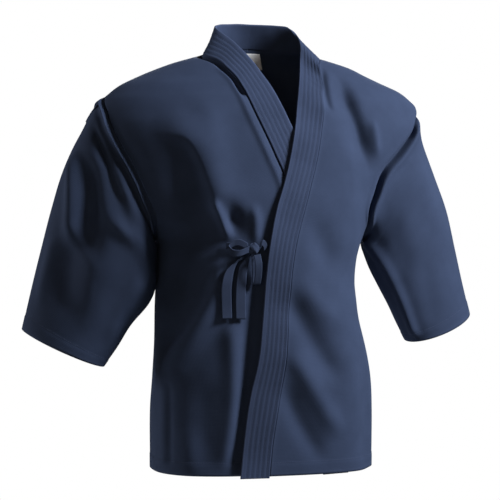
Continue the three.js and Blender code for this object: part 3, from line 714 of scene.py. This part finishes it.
def edge_wear(grid):
    """The share rubbed at a grid's own edges, falling off within rubbed_reach of them."""
    over, down = run_along(grid, 1), run_along(grid, 0)
    nearest = np.minimum(np.minimum(over, over[:, -1:] - over), np.minimum(down, down[-1:] - down))
    return rubbed_share * bell(nearest, rubbed_reach)


def spot_on(grid, row, column):
    """Points of a grid at fractional rows and columns, straight between the four around each."""
    i = np.clip(np.floor(row).astype(int), 0, grid.shape[0] - 2)
    j = np.clip(np.floor(column).astype(int), 0, grid.shape[1] - 2)
    a, b = (row - i)[:, None], (column - j)[:, None]
    top = grid[i, j] * (1 - b) + grid[i, j + 1] * b
    bottom = grid[i + 1, j] * (1 - b) + grid[i + 1, j + 1] * b
    return top * (1 - a) + bottom * a


def stitch_row(grid, row, column, pitch, long):
    """Middles, directions and normals of even stitches along a line of a grid's rows and columns."""
    line = spot_on(grid, row, column)
    run = np.concatenate([[0], np.cumsum(np.linalg.norm(np.diff(line, axis=0), axis=1))])
    count = int(run[-1] / pitch)
    at = (np.arange(count) + 0.5) * run[-1] / count
    index = np.interp(at, run, np.arange(len(run)))
    rows, columns = np.interp(index, np.arange(len(run)), row), np.interp(index, np.arange(len(run)), column)
    middle = spot_on(grid, rows, columns)
    step = 0.3
    last_row, last_column = np.array(grid.shape[:2]) - 1.001
    over = spot_on(grid, rows, np.minimum(columns + step, last_column))
    over = over - spot_on(grid, rows, np.maximum(columns - step, 0))
    down = spot_on(grid, np.minimum(rows + step, last_row), columns)
    down = down - spot_on(grid, np.maximum(rows - step, 0), columns)
    ahead, behind = (
        np.stack([np.interp(at + way * long / 2, run, line[:, k]) for k in range(3)], 1) for way in (1, -1)
    )
    return middle, unit(ahead - behind), unit(np.cross(over, down))


def stitches(name, rows, long, outward_from):
    """Threads as small spindles: five rings of five points, whose radius is half a thread times the root
    of 1 - s^2 along s from -1 to 1, partly sunk in the cloth."""
    middle, ahead, normal = (np.concatenate(parts) for parts in zip(*rows))
    away = middle - outward_from(middle)
    normal = normal * np.sign((normal * away).sum(1, keepdims=True))
    aside = np.cross(ahead, normal)
    s = np.array([-1, -0.7, 0, 0.7, 1.0])
    radius = np.sqrt(np.maximum(1 - s**2, 0.02)) * thread_thick / 2
    turn = np.arange(5) * 2 * np.pi / 5
    flat_part = aside[:, None, None] * np.cos(turn)[None, None, :, None]
    upright_part = normal[:, None, None] * np.sin(turn)[None, None, :, None]
    ring = (
        middle[:, None, None]
        + ahead[:, None, None] * (s * long / 2)[None, :, None, None]
        + (flat_part + upright_part) * radius[None, :, None, None]
        + normal[:, None, None] * (thread_raised * thread_thick)
    )
    count = len(middle)
    points = ring.reshape(-1, 3)
    base = np.arange(25).reshape(5, 5)
    right = np.roll(base, -1, 1)
    quads = np.stack([base[:-1], right[:-1], right[1:], base[1:]], -1).reshape(-1, 4)
    faces = (quads[None] + 25 * np.arange(count)[:, None, None]).reshape(-1, 4)
    lids = (np.stack([base[0][::-1], base[-1]])[None] + 25 * np.arange(count)[:, None, None]).reshape(-1, 5)
    mesh = bpy.data.meshes.new(name)
    mesh.from_pydata((points * to_metres).tolist(), [], faces.tolist() + lids.tolist())
    corner = points[faces[0]]
    face_normal = np.cross(corner[1] - corner[0], corner[2] - corner[0])
    if face_normal @ (corner.mean(0) - middle[0]) < 0:
        mesh.flip_normals()
    return sewn_piece(mesh, indigo_thread)


def spun_thread(name, deep, pale, twist_scale):
    """Spun cotton sewing thread: matt, and mottled by its twist."""
    material = bpy.data.materials.new(name)
    material.use_nodes = True
    tree = material.node_tree
    shader = tree.nodes["Principled BSDF"]
    place = put(tree, "ShaderNodeTexCoord").outputs["Object"]
    twist = put(tree, "ShaderNodeTexNoise", {"Vector": place, "Scale": twist_scale, "Detail": 1.0})
    mixed = put(
        tree,
        "ShaderNodeMix",
        {"Factor": twist.outputs["Fac"], "A": linear(deep), "B": linear(pale)},
        data_type="RGBA",
    )
    tree.links.new(mixed.outputs["Result"], shader.inputs["Base Color"])
    shader.inputs["Roughness"].default_value = 0.8
    return material


# Sewing thread of about the cloth's colour, so that it shows by its relief. Its twist is drawn as about 1 mm
# long, coarser than the real one.
indigo_thread = spun_thread("indigo_sewing_thread", "#28344b", "#3a4864", 900.0)

for side, node in ((-1, "body_right"), (1, "body_left")):
    grid, normal = body_half(side)
    panel = cloth_piece(node + "_cloth", grid, normal, edge_wear(grid), indigo_cotton)
    thicken(panel, cloth_thick)
    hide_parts(node)
    last_row, last_column = grid.shape[0] - 1, grid.shape[1] - 1
    spread = np.linspace(0.4, last_column - 0.4, stitch_samples)
    lines = []
    for rows_low, first_row, way in ((rows_front_low, 0, 1), (rows_back_low, last_row, -1)):
        row_high = (armhole_levels(side)[-1] - hem_level) / rows_low
        stitched_row = first_row + way * (hem_turned - stitch_inset) / row_high
        row = np.full(stitch_samples, stitched_row)
        lines.append(stitch_row(grid, row, spread, stitch_pitch, stitch_long))
    threads = stitches(node + "_hem_stitches", lines, stitch_long, lambda points: points * [0, 0, 1])

# The sleeves. Each is one length of the same cotton, sewn into a short wide tube with its seam under the
# arm, set on the armhole, and turned up and stitched at the cuff.
rows_sleeve, row_crowding = 132, 1.25
front_columns, back_columns = 84, 91
leave_length, leave_height, leave_blend = 46, 16, 8
cuff_turned, cuff_samples = 22, 300
cuff_droop = {-1: 10, 1: 11}
sleeve_run, girth_per_degree, folds_start = 420, 1.35, 30
sleeve_side_relief = {-1: [(0, 2.6, -3.5), (6, 3.4, 7.5), (16, 7, -3)], 1: [(0, 6, -18), (13, 8, 6)]}

# The right sleeve's underside is drawn to the body by this much round a share along and an angle in degrees.
armpit_pull, armpit_share, armpit_angle = 6, (0.15, 0.07), (172, 26)

# share, outer across, outer level, inner across, inner level, middle, deep, turn
sleeve_rows = {
    -1: np.array(
        [
            [0.28, 317, -150, 187, -366, 12, 136, 8],
            [0.43, 343, -205, 187, -404, 14, 126, 14],
            [0.58, 363, -268, 198, -438, 19, 116, 19],
            [0.73, 381, -337, 227, -476, 27, 106, 23],
            [0.87, 398, -402, 249, -513, 27, 98, 26],
            [1, 415, -473, 271, -544, 26, 92, 28],
        ]
    ),
    1: np.array(
        [
            [0.28, 311, -150, 196, -346, 22, 134, 6],
            [0.43, 337, -205, 207, -378, 25, 124, 10],
            [0.58, 364, -266, 222, -410, 27, 116, 14],
            [0.73, 382, -334, 241, -446, 28, 108, 17],
            [0.87, 397, -396, 256, -478, 28, 102, 19],
            [1, 411, -452, 272, -509, 27, 98, 20],
        ]
    ),
}

# Folds as places of share along and degrees round, then width, height and lean.
sleeve_folds = {
    -1: [
        ([(0.35, 24), (0.44, 41), (0.52, 52), (0.64, 64)], 14, 14, 0),
        ([(0.33, 50), (0.42, 64), (0.51, 74), (0.62, 86)], 15, -9, 0),
        ([(0.1, 40), (0.2, 60), (0.3, 80), (0.36, 98)], 24, -12, 0),
        ([(0.44, 84), (0.42, 100), (0.38, 118), (0.3, 130)], 17, 5, 0),
        ([(0.52, 90), (0.64, 98), (0.76, 108), (0.86, 116)], 34, 9, -0.3),
        ([(0.6, 60), (0.72, 70), (0.86, 84)], 20, -6, 0),
        ([(0.66, 40), (0.9, 48)], 14, 4, 0),
        ([(0.5, 134), (0.86, 150)], 16, 4, 0),
        ([(0.2, 300), (0.7, 285)], 20, -8, 0),
        ([(0.3, 240), (0.8, 250)], 18, 6, 0),
    ],
    1: [
        ([(0.14, 170), (0.3, 160), (0.46, 153), (0.7, 154), (0.97, 157)], 12, 9, 0),
        ([(0.3, 122), (0.62, 126)], 18, -2, 0),
        ([(0.6, 104), (0.95, 118)], 20, -2.5, 0),
        ([(0.25, 60), (0.7, 64)], 24, 3, 0),
        ([(0.2, 298), (0.7, 284)], 20, -8, 0),
        ([(0.35, 236), (0.85, 246)], 18, 6, 0),
    ],
}


def sleeve_section(side, row, turned):
    """An oval: its middle + half its width * cos + half its depth * sin, both ways turned by its own angle,
    with its front lower than its back by the droop, which grows with the cube of the share."""
    reached, outer_x, outer_z, inner_x, inner_z, middle_y, deep, turn = row
    outer = np.array([side * outer_x, 0, outer_z])
    inner = np.array([side * inner_x, 0, inner_z])
    middle = (outer + inner) / 2
    middle[1] = middle_y
    half = np.linalg.norm(outer - inner) / 2
    flat = (outer - inner) / (2 * half)
    front = np.array([0, -1, 0])
    turn = np.radians(turn)
    wide_way = flat * np.cos(turn) - front * np.sin(turn)
    deep_way = flat * np.sin(turn) + front * np.cos(turn)
    section = middle + np.outer(np.cos(turned), wide_way) * half
    section = section + np.outer(np.sin(turned), deep_way) * deep / 2
    section[:, 2] -= cuff_droop[side] * reached**3 * np.sin(turned)
    return section


def sleeve_grid(side):
    """Rows leave the armhole seam along the cloth, by leave_length u (1 - u)^2, and then pass through oval
    sections; columns go from the outer edge over the front and round."""
    columns = front_columns + back_columns
    j = np.arange(columns)
    round_share = np.where(j <= front_columns, j / front_columns, 1 + (j - front_columns) / back_columns)
    place = np.where(
        (round_share <= 1)[:, None],
        place_on(armhole_seam(side, 1), np.minimum(round_share, 1)),
        place_on(armhole_seam(side, -1), np.clip(2 - round_share, 0, 1)),
    )
    angle, level = place[:, 1], place[:, 2]
    normal = form_normal(angle, level)
    seam = form_point(angle, level)
    leave = unit(np.cross(np.roll(seam, 1, 0) - np.roll(seam, -1, 0), normal)) * side
    start = cloth_point(side, angle, level) + leave * seam_gap
    turned = np.pi * round_share
    stations = [start] + [sleeve_section(side, row, turned) for row in sleeve_rows[side]]
    knots = np.concatenate([[0], sleeve_rows[side][:, 0]])
    share = np.linspace(0, 1, rows_sleeve + 1) ** row_crowding
    grid = along(share, knots, np.stack(stations))
    u = np.clip(share / knots[1], 0, 1)
    bulge = (u * (1 - u) ** 2)[:, None, None]
    grid = grid + bulge * (leave * leave_length + normal * leave_height)
    down = np.gradient(grid, axis=0)
    over = np.roll(grid, -1, 1) - np.roll(grid, 1, 1)
    outward = unit(np.cross(down, over)) * -side
    degrees = np.degrees(turned)[None, :]
    x = share[:, None] * sleeve_run + 0 * degrees
    y = degrees * girth_per_degree + 0 * x
    height = np.zeros(x.shape)
    for path, wide, high, lean in sleeve_folds[side]:
        scaled = [(s * sleeve_run, d * girth_per_degree) for s, d in path]
        height += fold_height(x, y, scaled, wide, high, lean)
    run = np.cumsum(np.concatenate([[0], np.linalg.norm(np.diff(grid, axis=0), axis=2).mean(1)]))
    to_cuff = run[-1] - run
    height += turned_edge(to_cuff, cuff_turned)[:, None]
    to_seam = run_along(grid, 0)
    height *= smooth(to_seam / folds_start)
    crease = beside_armhole(side, sleeve_side_relief[side], to_seam, level[None, :])
    if side < 0:
        height += crease
    nearby = bell(to_seam, leave_blend)[..., None]
    outward = unit(normal[None] * nearby + outward * (1 - nearby))
    grid = grid + outward * height[..., None]
    if side > 0:
        grid[..., 1] += crease * np.where(turned <= np.pi, -1, 1)[None]
    else:
        along_sleeve = bell(share[:, None] - armpit_share[0], armpit_share[1])
        grid[..., 0] += armpit_pull * along_sleeve * bell(degrees - armpit_angle[0], armpit_angle[1])
    return grid, outward, to_cuff


for side, node in ((-1, "sleeve_right"), (1, "sleeve_left")):
    grid, outward, to_cuff = sleeve_grid(side)
    to_edge = np.minimum(to_cuff, to_cuff[0] - to_cuff)
    wear = rubbed_share * bell(to_edge, rubbed_reach)[:, None] + 0 * grid[..., 0]
    sleeve = cloth_piece(node + "_cloth", grid, outward, wear, indigo_cotton, wrap=True)
    thicken(sleeve, cloth_thick)
    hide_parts(node)
    closed = np.concatenate([grid, grid[:, :1]], 1)
    row = np.interp(-(cuff_turned - stitch_inset), -to_cuff, np.arange(len(to_cuff)))
    around = np.linspace(0, grid.shape[1] - 0.001, cuff_samples)
    line = stitch_row(closed, np.full(cuff_samples, row), around, stitch_pitch, stitch_long)
    centre = grid[-10:].mean((0, 1))
    threads = stitches(
        node + "_cuff_stitches", [line], stitch_long, lambda points, at=centre: points * 0 + at
    )

# The collar, one long strip of the same cotton folded lengthwise over a filling strip and quilted with
# rows of stitches along it. It runs from hem to hem round the neck, sewn to the edge of the body.
band_thick, band_proud, band_round, band_columns = 4.0, 1.0, 1.4, 34
band_wide = 48
front_steps, neck_steps = 72, 36
stitch_lines = np.array([0.12, 0.29, 0.46, 0.63, 0.80])
quilt_pitch, quilt_long = 4.6, 3.2


def free_edge(side, index):
    """The band's outer edge: on the cloth where it lies, and at its own depth where it stands."""
    rows = collar_rows[side]
    lying = cloth_point(side, angle_at(rows[:, 3], rows[:, 5], rows[:, 2]), rows[:, 5])
    stands = ~np.isnan(rows[:, 4])
    across = np.where(stands, rows[:, 3], lying[:, 0])
    depth = np.where(stands, rows[:, 4], lying[:, 1])
    return along(index, np.arange(len(rows)), np.stack([across, depth, rows[:, 5]], 1))


def collar_half(side):
    """Points of the seam beside the body cloth and of the free edge, and normals, from hem to centre back."""
    low_edge, high_edge, neck_edge = neck_edges(side)
    first = np.array([[0.0, *collar_places(side)[0]]])
    places = np.concatenate(
        [
            first,
            place_on(low_edge, np.linspace(0, 1, front_steps + 1)),
            place_on(high_edge, np.linspace(0, 1, front_steps + 1))[1:],
            place_on(neck_edge, np.linspace(0, 1, neck_steps + 1))[1:],
        ]
    )
    index, angle, level = places.T
    normal = form_normal(angle, level)
    seam = form_point(angle, level)
    leave = unit(np.cross(np.gradient(seam, axis=0), normal)) * -side
    return cloth_point(side, angle, level) + leave * seam_gap, free_edge(side, index), normal


def band(outer_edge, inner_edge, first_normal, thick, proud, round_edge, across, relief=None):
    """A flat closed band between two edges: each ring goes over its outer face and back under its inner
    face, and its thickness falls to nothing at both edges as a quarter circle of radius round_edge."""
    wide = np.linalg.norm(inner_edge - outer_edge, axis=1).mean()
    ends = np.array([0, 0.06, 0.25, 0.55, 1.0]) * round_edge / wide
    share = np.concatenate([ends, np.linspace(ends[-1], 1 - ends[-1], across)[1:-1], 1 - ends[::-1]])
    grid = outer_edge[:, None] + (inner_edge - outer_edge)[:, None] * share[None, :, None]
    down = np.gradient(grid, axis=0)
    over = np.broadcast_to((inner_edge - outer_edge)[:, None], grid.shape)
    normal = unit(np.cross(over, down))
    if first_normal is not None:
        if (normal[:, 0] * first_normal).sum() < 0:
            normal = -normal
        blend = bell(share, 0.12)[None, :, None]
        normal = unit(first_normal[:, None] * blend + normal * (1 - blend))
    near_edge = np.minimum(share, 1 - share) * wide
    full = np.sqrt(np.clip(1 - (1 - np.minimum(near_edge / round_edge, 1)) ** 2, 0, 1))
    centre = grid + normal * (proud - thick / 2)
    height = np.zeros(grid.shape[:2]) if relief is None else relief(grid, share)
    outer = centre + normal * (full * (thick / 2 + height))[..., None]
    inner = centre - normal * (full * thick / 2)[None, :, None]
    ring = np.concatenate([outer, inner[:, -2:0:-1]], 1)
    outward = np.concatenate([normal, -normal[:, -2:0:-1]], 1)
    return ring, outward, outer, share


def quilted(grid, share):
    """Soft channels between the rows of stitches, and slight puckers across them."""
    distance = np.min(np.abs(share[:, None] - stitch_lines[None, :]), 1) * band_wide
    channel = 0.45 * smooth(distance / 3.2) - 0.3
    run = np.cumsum(np.concatenate([[0], np.linalg.norm(np.diff(grid[:, 0], axis=0), axis=1)]))
    pucker = np.sin(run / 3.1 + 2 * np.sin(run / 17)) * np.sin(run / 41 + 1)
    return channel[None, :] + 0.12 * pucker[:, None] * bell(distance, 3)[None, :]


both_halves = zip(collar_half(-1), collar_half(1))
whole = [np.concatenate([right, left[::-1][1:]]) for right, left in both_halves]
fine = np.linspace(0, len(whole[0]) - 1, 2 * len(whole[0]) - 1)
seam, free, normal = (along(fine, np.arange(len(line)), line) for line in whole)
ring, outward, face, share = band(
    seam, free, unit(normal), band_thick, band_proud, band_round, band_columns, quilted
)
from_free_edge = np.concatenate([1 - share, (1 - share)[-2:0:-1]])
wear = 0.8 * bell(np.abs(from_free_edge), 0.06)[None] + 0 * ring[..., 0]
# The same cotton over its filling, painted a little paler than the body cloth as painted light: it stands in
# for the extra light that the raised quilted band catches.
quilted_cotton_painted_lighter = woven_cotton(
    "indigo_quilted_cotton_painted_lighter", "#2d374b", "#3f4b65", "#525f7d", thread=2.2, bump=0.3
)
collar = cloth_piece("collar_band", ring, outward, wear, quilted_cotton_painted_lighter, wrap=True, cap=True)
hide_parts("collar")
every_row = np.arange(len(face), dtype=float)[1:-1]
lines = []
for column in np.interp(stitch_lines, share, np.arange(len(share))):
    lines.append(stitch_row(face, every_row, 0 * every_row + column, quilt_pitch, quilt_long))
threads = stitches(
    "collar_stitches", lines, quilt_long, lambda points: points * [0, 0, 1] + [0, 20, 0]
)

# The outer ties, two flat woven cotton tapes sewn to the fronts and knotted in a bow on the right front,
# with both loops and both ends free.
tape_wide, tape_thick, tape_round, tape_columns = 17.0, 2.0, 0.9, 12
knot_place = (-51, -341, 12)
knot_radii, knot_scale = (9, 7, 10), 0.96

# The tapes' widths where they are folded lengthwise, between the knot and the cloth and in the loops.
folded_wide = {
    "tie_left_lead": 10.0,
    "tie_right_lead": 11.0,
    "tie_right_loop": 11.0,
    "tie_left_loop": 12.0,
}

# across, level, distance off the cloth and lay, the way that the width runs in degrees
tie_ways = {
    "tie_left_lead": [
        (-30, -341, 7, 50),
        (-32, -335, 10, 60),
        (-37, -331, 12.5, 76),
        (-41.4, -336.5, 12, 88),
    ],
    "tie_right_lead": [
        (-93, -336, 3.2, 84),
        (-84, -336, 4, 84),
        (-74, -337, 4.5, 86),
        (-62, -339, 5, 88),
    ],
    "tie_right_loop": [
        (-61.2, -337, 11, 84),
        (-74, -331, 12, 80),
        (-84, -332, 13, 84),
        (-91, -340, 15, 92),
        (-86, -348, 19, 84),
        (-76, -348, 20, 80),
        (-60.6, -342, 15, 84),
    ],
    "tie_left_loop": [
        (-47, -351.2, 14.5, 10),
        (-46, -366, 20, 8),
        (-46, -384, 19, 6),
        (-47, -398, 14, 4),
        (-47, -384, 9, 4),
        (-48, -368, 9, 6),
        (-49, -351.5, 9.5, 8),
    ],
    "tie_right_tail": [
        (-64.5, -352, 9, 48),
        (-78, -360, 10, 40),
        (-89, -376, 8, 22),
        (-94, -402, 5, 6),
        (-94.5, -430, 4.5, 2),
        (-94, -456, 5, 0),
    ],
    "tie_left_tail": [
        (-59, -353, 3.6, 40),
        (-66, -368, 3.2, 22),
        (-70.5, -395, 4, 8),
        (-72, -425, 4.2, 0),
        (-71.5, -457, 4.2, -2),
    ],
}

# Woven cotton tape: the same dye, a finer and closer weave, and so a little darker.
cotton_tape = woven_cotton("indigo_cotton_tape", "#262f40", "#353f55", "#4e5c78", thread=1.6, bump=0.4)


def on_front(side, across, level, off):
    """A place on the outer face of the front, moved forward off the cloth."""
    point = cloth_point(side, angle_at(across, level, 1), level)
    point[..., 1] -= off
    return point


for node, way in tie_ways.items():
    rows = np.array(way, float)
    at = np.linspace(0, len(rows) - 1, 12 * (len(rows) - 1) + 1)
    across, level, off, lay = along(at, np.arange(len(rows)), rows).T
    middle = on_front(-1, across, level, off)
    lay = np.radians(lay)
    wide = folded_wide.get(node, tape_wide)
    wide_way = np.stack([np.cos(lay), 0 * lay, np.sin(lay)], 1) * wide / 2
    ring, outward, _, share = band(
        middle - wide_way, middle + wide_way, None, tape_thick, 0, tape_round, tape_columns
    )
    to_edge = np.abs(np.abs(np.concatenate([share, share[-2:0:-1]]) - 0.5) - 0.5)
    wear = 0.4 * bell(to_edge, 0.05)[None] + 0 * ring[..., 0]
    tape = cloth_piece(node + "_tape", ring, outward, wear, cotton_tape, wrap=True, cap=True)
    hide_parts(node)


def knot_surface(turn, rise):
    """An oval lump, radius 1 times its three half sizes, with slanting folds of the tape round it."""
    fold = 1 + 0.07 * np.cos(3 * turn + 4 * rise) - 0.06 * bell(np.sin(turn * 1.5 + rise), 0.25)
    x = np.cos(rise) * np.cos(turn) * fold * knot_radii[0]
    y = np.cos(rise) * np.sin(turn) * fold * knot_radii[1]
    z = np.sin(rise) * fold * knot_radii[2]
    return np.stack([x, y, z], -1)


turn, rise = np.meshgrid(np.linspace(0, 2 * np.pi, 60, endpoint=False), np.linspace(-1.5, 1.5, 40))
centre = on_front(-1, np.array(knot_place[0]), np.array(knot_place[1]), knot_place[2])
lump = knot_scale * knot_surface(turn, rise) + centre
knot = cloth_piece("tie_knot_tape", lump, lump - centre, 0.2 + 0 * turn, cotton_tape, wrap=True, cap=True)
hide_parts("tie_knot")

# The neck label, a plain white woven patch sewn flat inside the back of the neck. It is left blank.
label_wide, label_low, label_high = 44, -15, 13
label_thick, label_sag, label_slant = 0.6, 1.6, 0.25
level, across = np.meshgrid(
    np.linspace(label_low, label_high, 20), np.linspace(-label_wide / 2, label_wide / 2, 30), indexing="ij"
)
across = across + label_slant * (label_high - level)
angle = angle_at(across, level, -1)
angle = np.where(across < 0, angle - 2 * np.pi, angle)
inward = -form_normal(angle, level)
patch = form_point(angle, level) + inward * (cloth_thick + label_sag - label_thick / 2)
# A close white weave, bright beside the cotton and with hardly a texture.
white_weave = woven_cotton("white_woven_label", "#f6f6f4", "#fcfcfa", "#ffffff", thread=0.5, bump=0.2)
label = cloth_piece("label_patch", patch, inward, 0 * across, white_weave)
thicken(label, label_thick)
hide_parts("label")

# The plain pale floor of the studio, and its soft light: one lamp from the wearer's left in front, a weak
# one from the right, one behind the right side that lights its edges, and one for the back.
# Lengths are in metres from here on.
floor_radius, floor_level = 1.8, -1.45
turns = np.linspace(0, 2 * np.pi, 96, endpoint=False)
disc = np.stack([floor_radius * np.cos(turns), floor_radius * np.sin(turns), floor_level + 0 * turns], 1)
floor_mesh = bpy.data.meshes.new("floor")
floor_mesh.from_pydata(disc.tolist(), [], [list(range(len(turns)))])
floor = bpy.data.objects.new("floor", floor_mesh)
bpy.context.collection.objects.link(floor)
# Matt paint, nearly white.
painted = bpy.data.materials.new("pale_painted_floor")
painted.use_nodes = True
painted_shader = painted.node_tree.nodes["Principled BSDF"]
painted_shader.inputs["Base Color"].default_value = linear("#f4f4f2")
painted_shader.inputs["Roughness"].default_value = 0.9
floor_mesh.materials.append(painted)
lamp_spread = np.radians(48)


def lamp(name, place, aim, size, watts, colour):
    """A square area lamp at a place, turned to its aim."""
    light = bpy.data.lights.new(name, "AREA")
    light.size = size
    light.energy = watts
    light.spread = lamp_spread
    light.color = linear(colour)[:3]
    lit = bpy.data.objects.new(name, light)
    lit.location = place
    away = np.array(place) - np.array(aim)
    flat = np.hypot(away[0], away[1])
    lit.rotation_euler = (np.arctan2(flat, away[2]), 0, np.arctan2(away[0], -away[1]))
    bpy.context.collection.objects.link(lit)


lamp("key", (2.28, -1.42, 1.4), (0.0, 0.0, -0.3), 0.9, 17, "#f2f5ff")
lamp("fill", (-1.5, -2.8, 0.2), (0.0, 0.0, -0.35), 1.6, 0.8, "#ffe6cc")
lamp("back", (0.9, 2.8, 0.7), (0.0, 0.0, -0.35), 1.6, 9, "#f2f5ff")
lamp("rim", (-2.6, 1.3, 0.4), (-0.1, 0.0, -0.35), 1.2, 4, "#f2f5ff")
world = bpy.data.worlds.new("studio")
world.use_nodes = True
sky = world.node_tree
sky.nodes.clear()
seen = put(sky, "ShaderNodeBackground", {"Color": linear("#ffffff"), "Strength": 1.0})
cast = put(sky, "ShaderNodeBackground", {"Color": linear("#fff6ec"), "Strength": 0.05})
path = put(sky, "ShaderNodeLightPath")
both = put(
    sky,
    "ShaderNodeMixShader",
    {0: path.outputs["Is Camera Ray"], 1: cast.outputs["Background"], 2: seen.outputs["Background"]},
)
put(sky, "ShaderNodeOutputWorld", {"Surface": both.outputs["Shader"]})
bpy.context.scene.world = world
bpy.context.scene.view_settings.view_transform = "Standard"
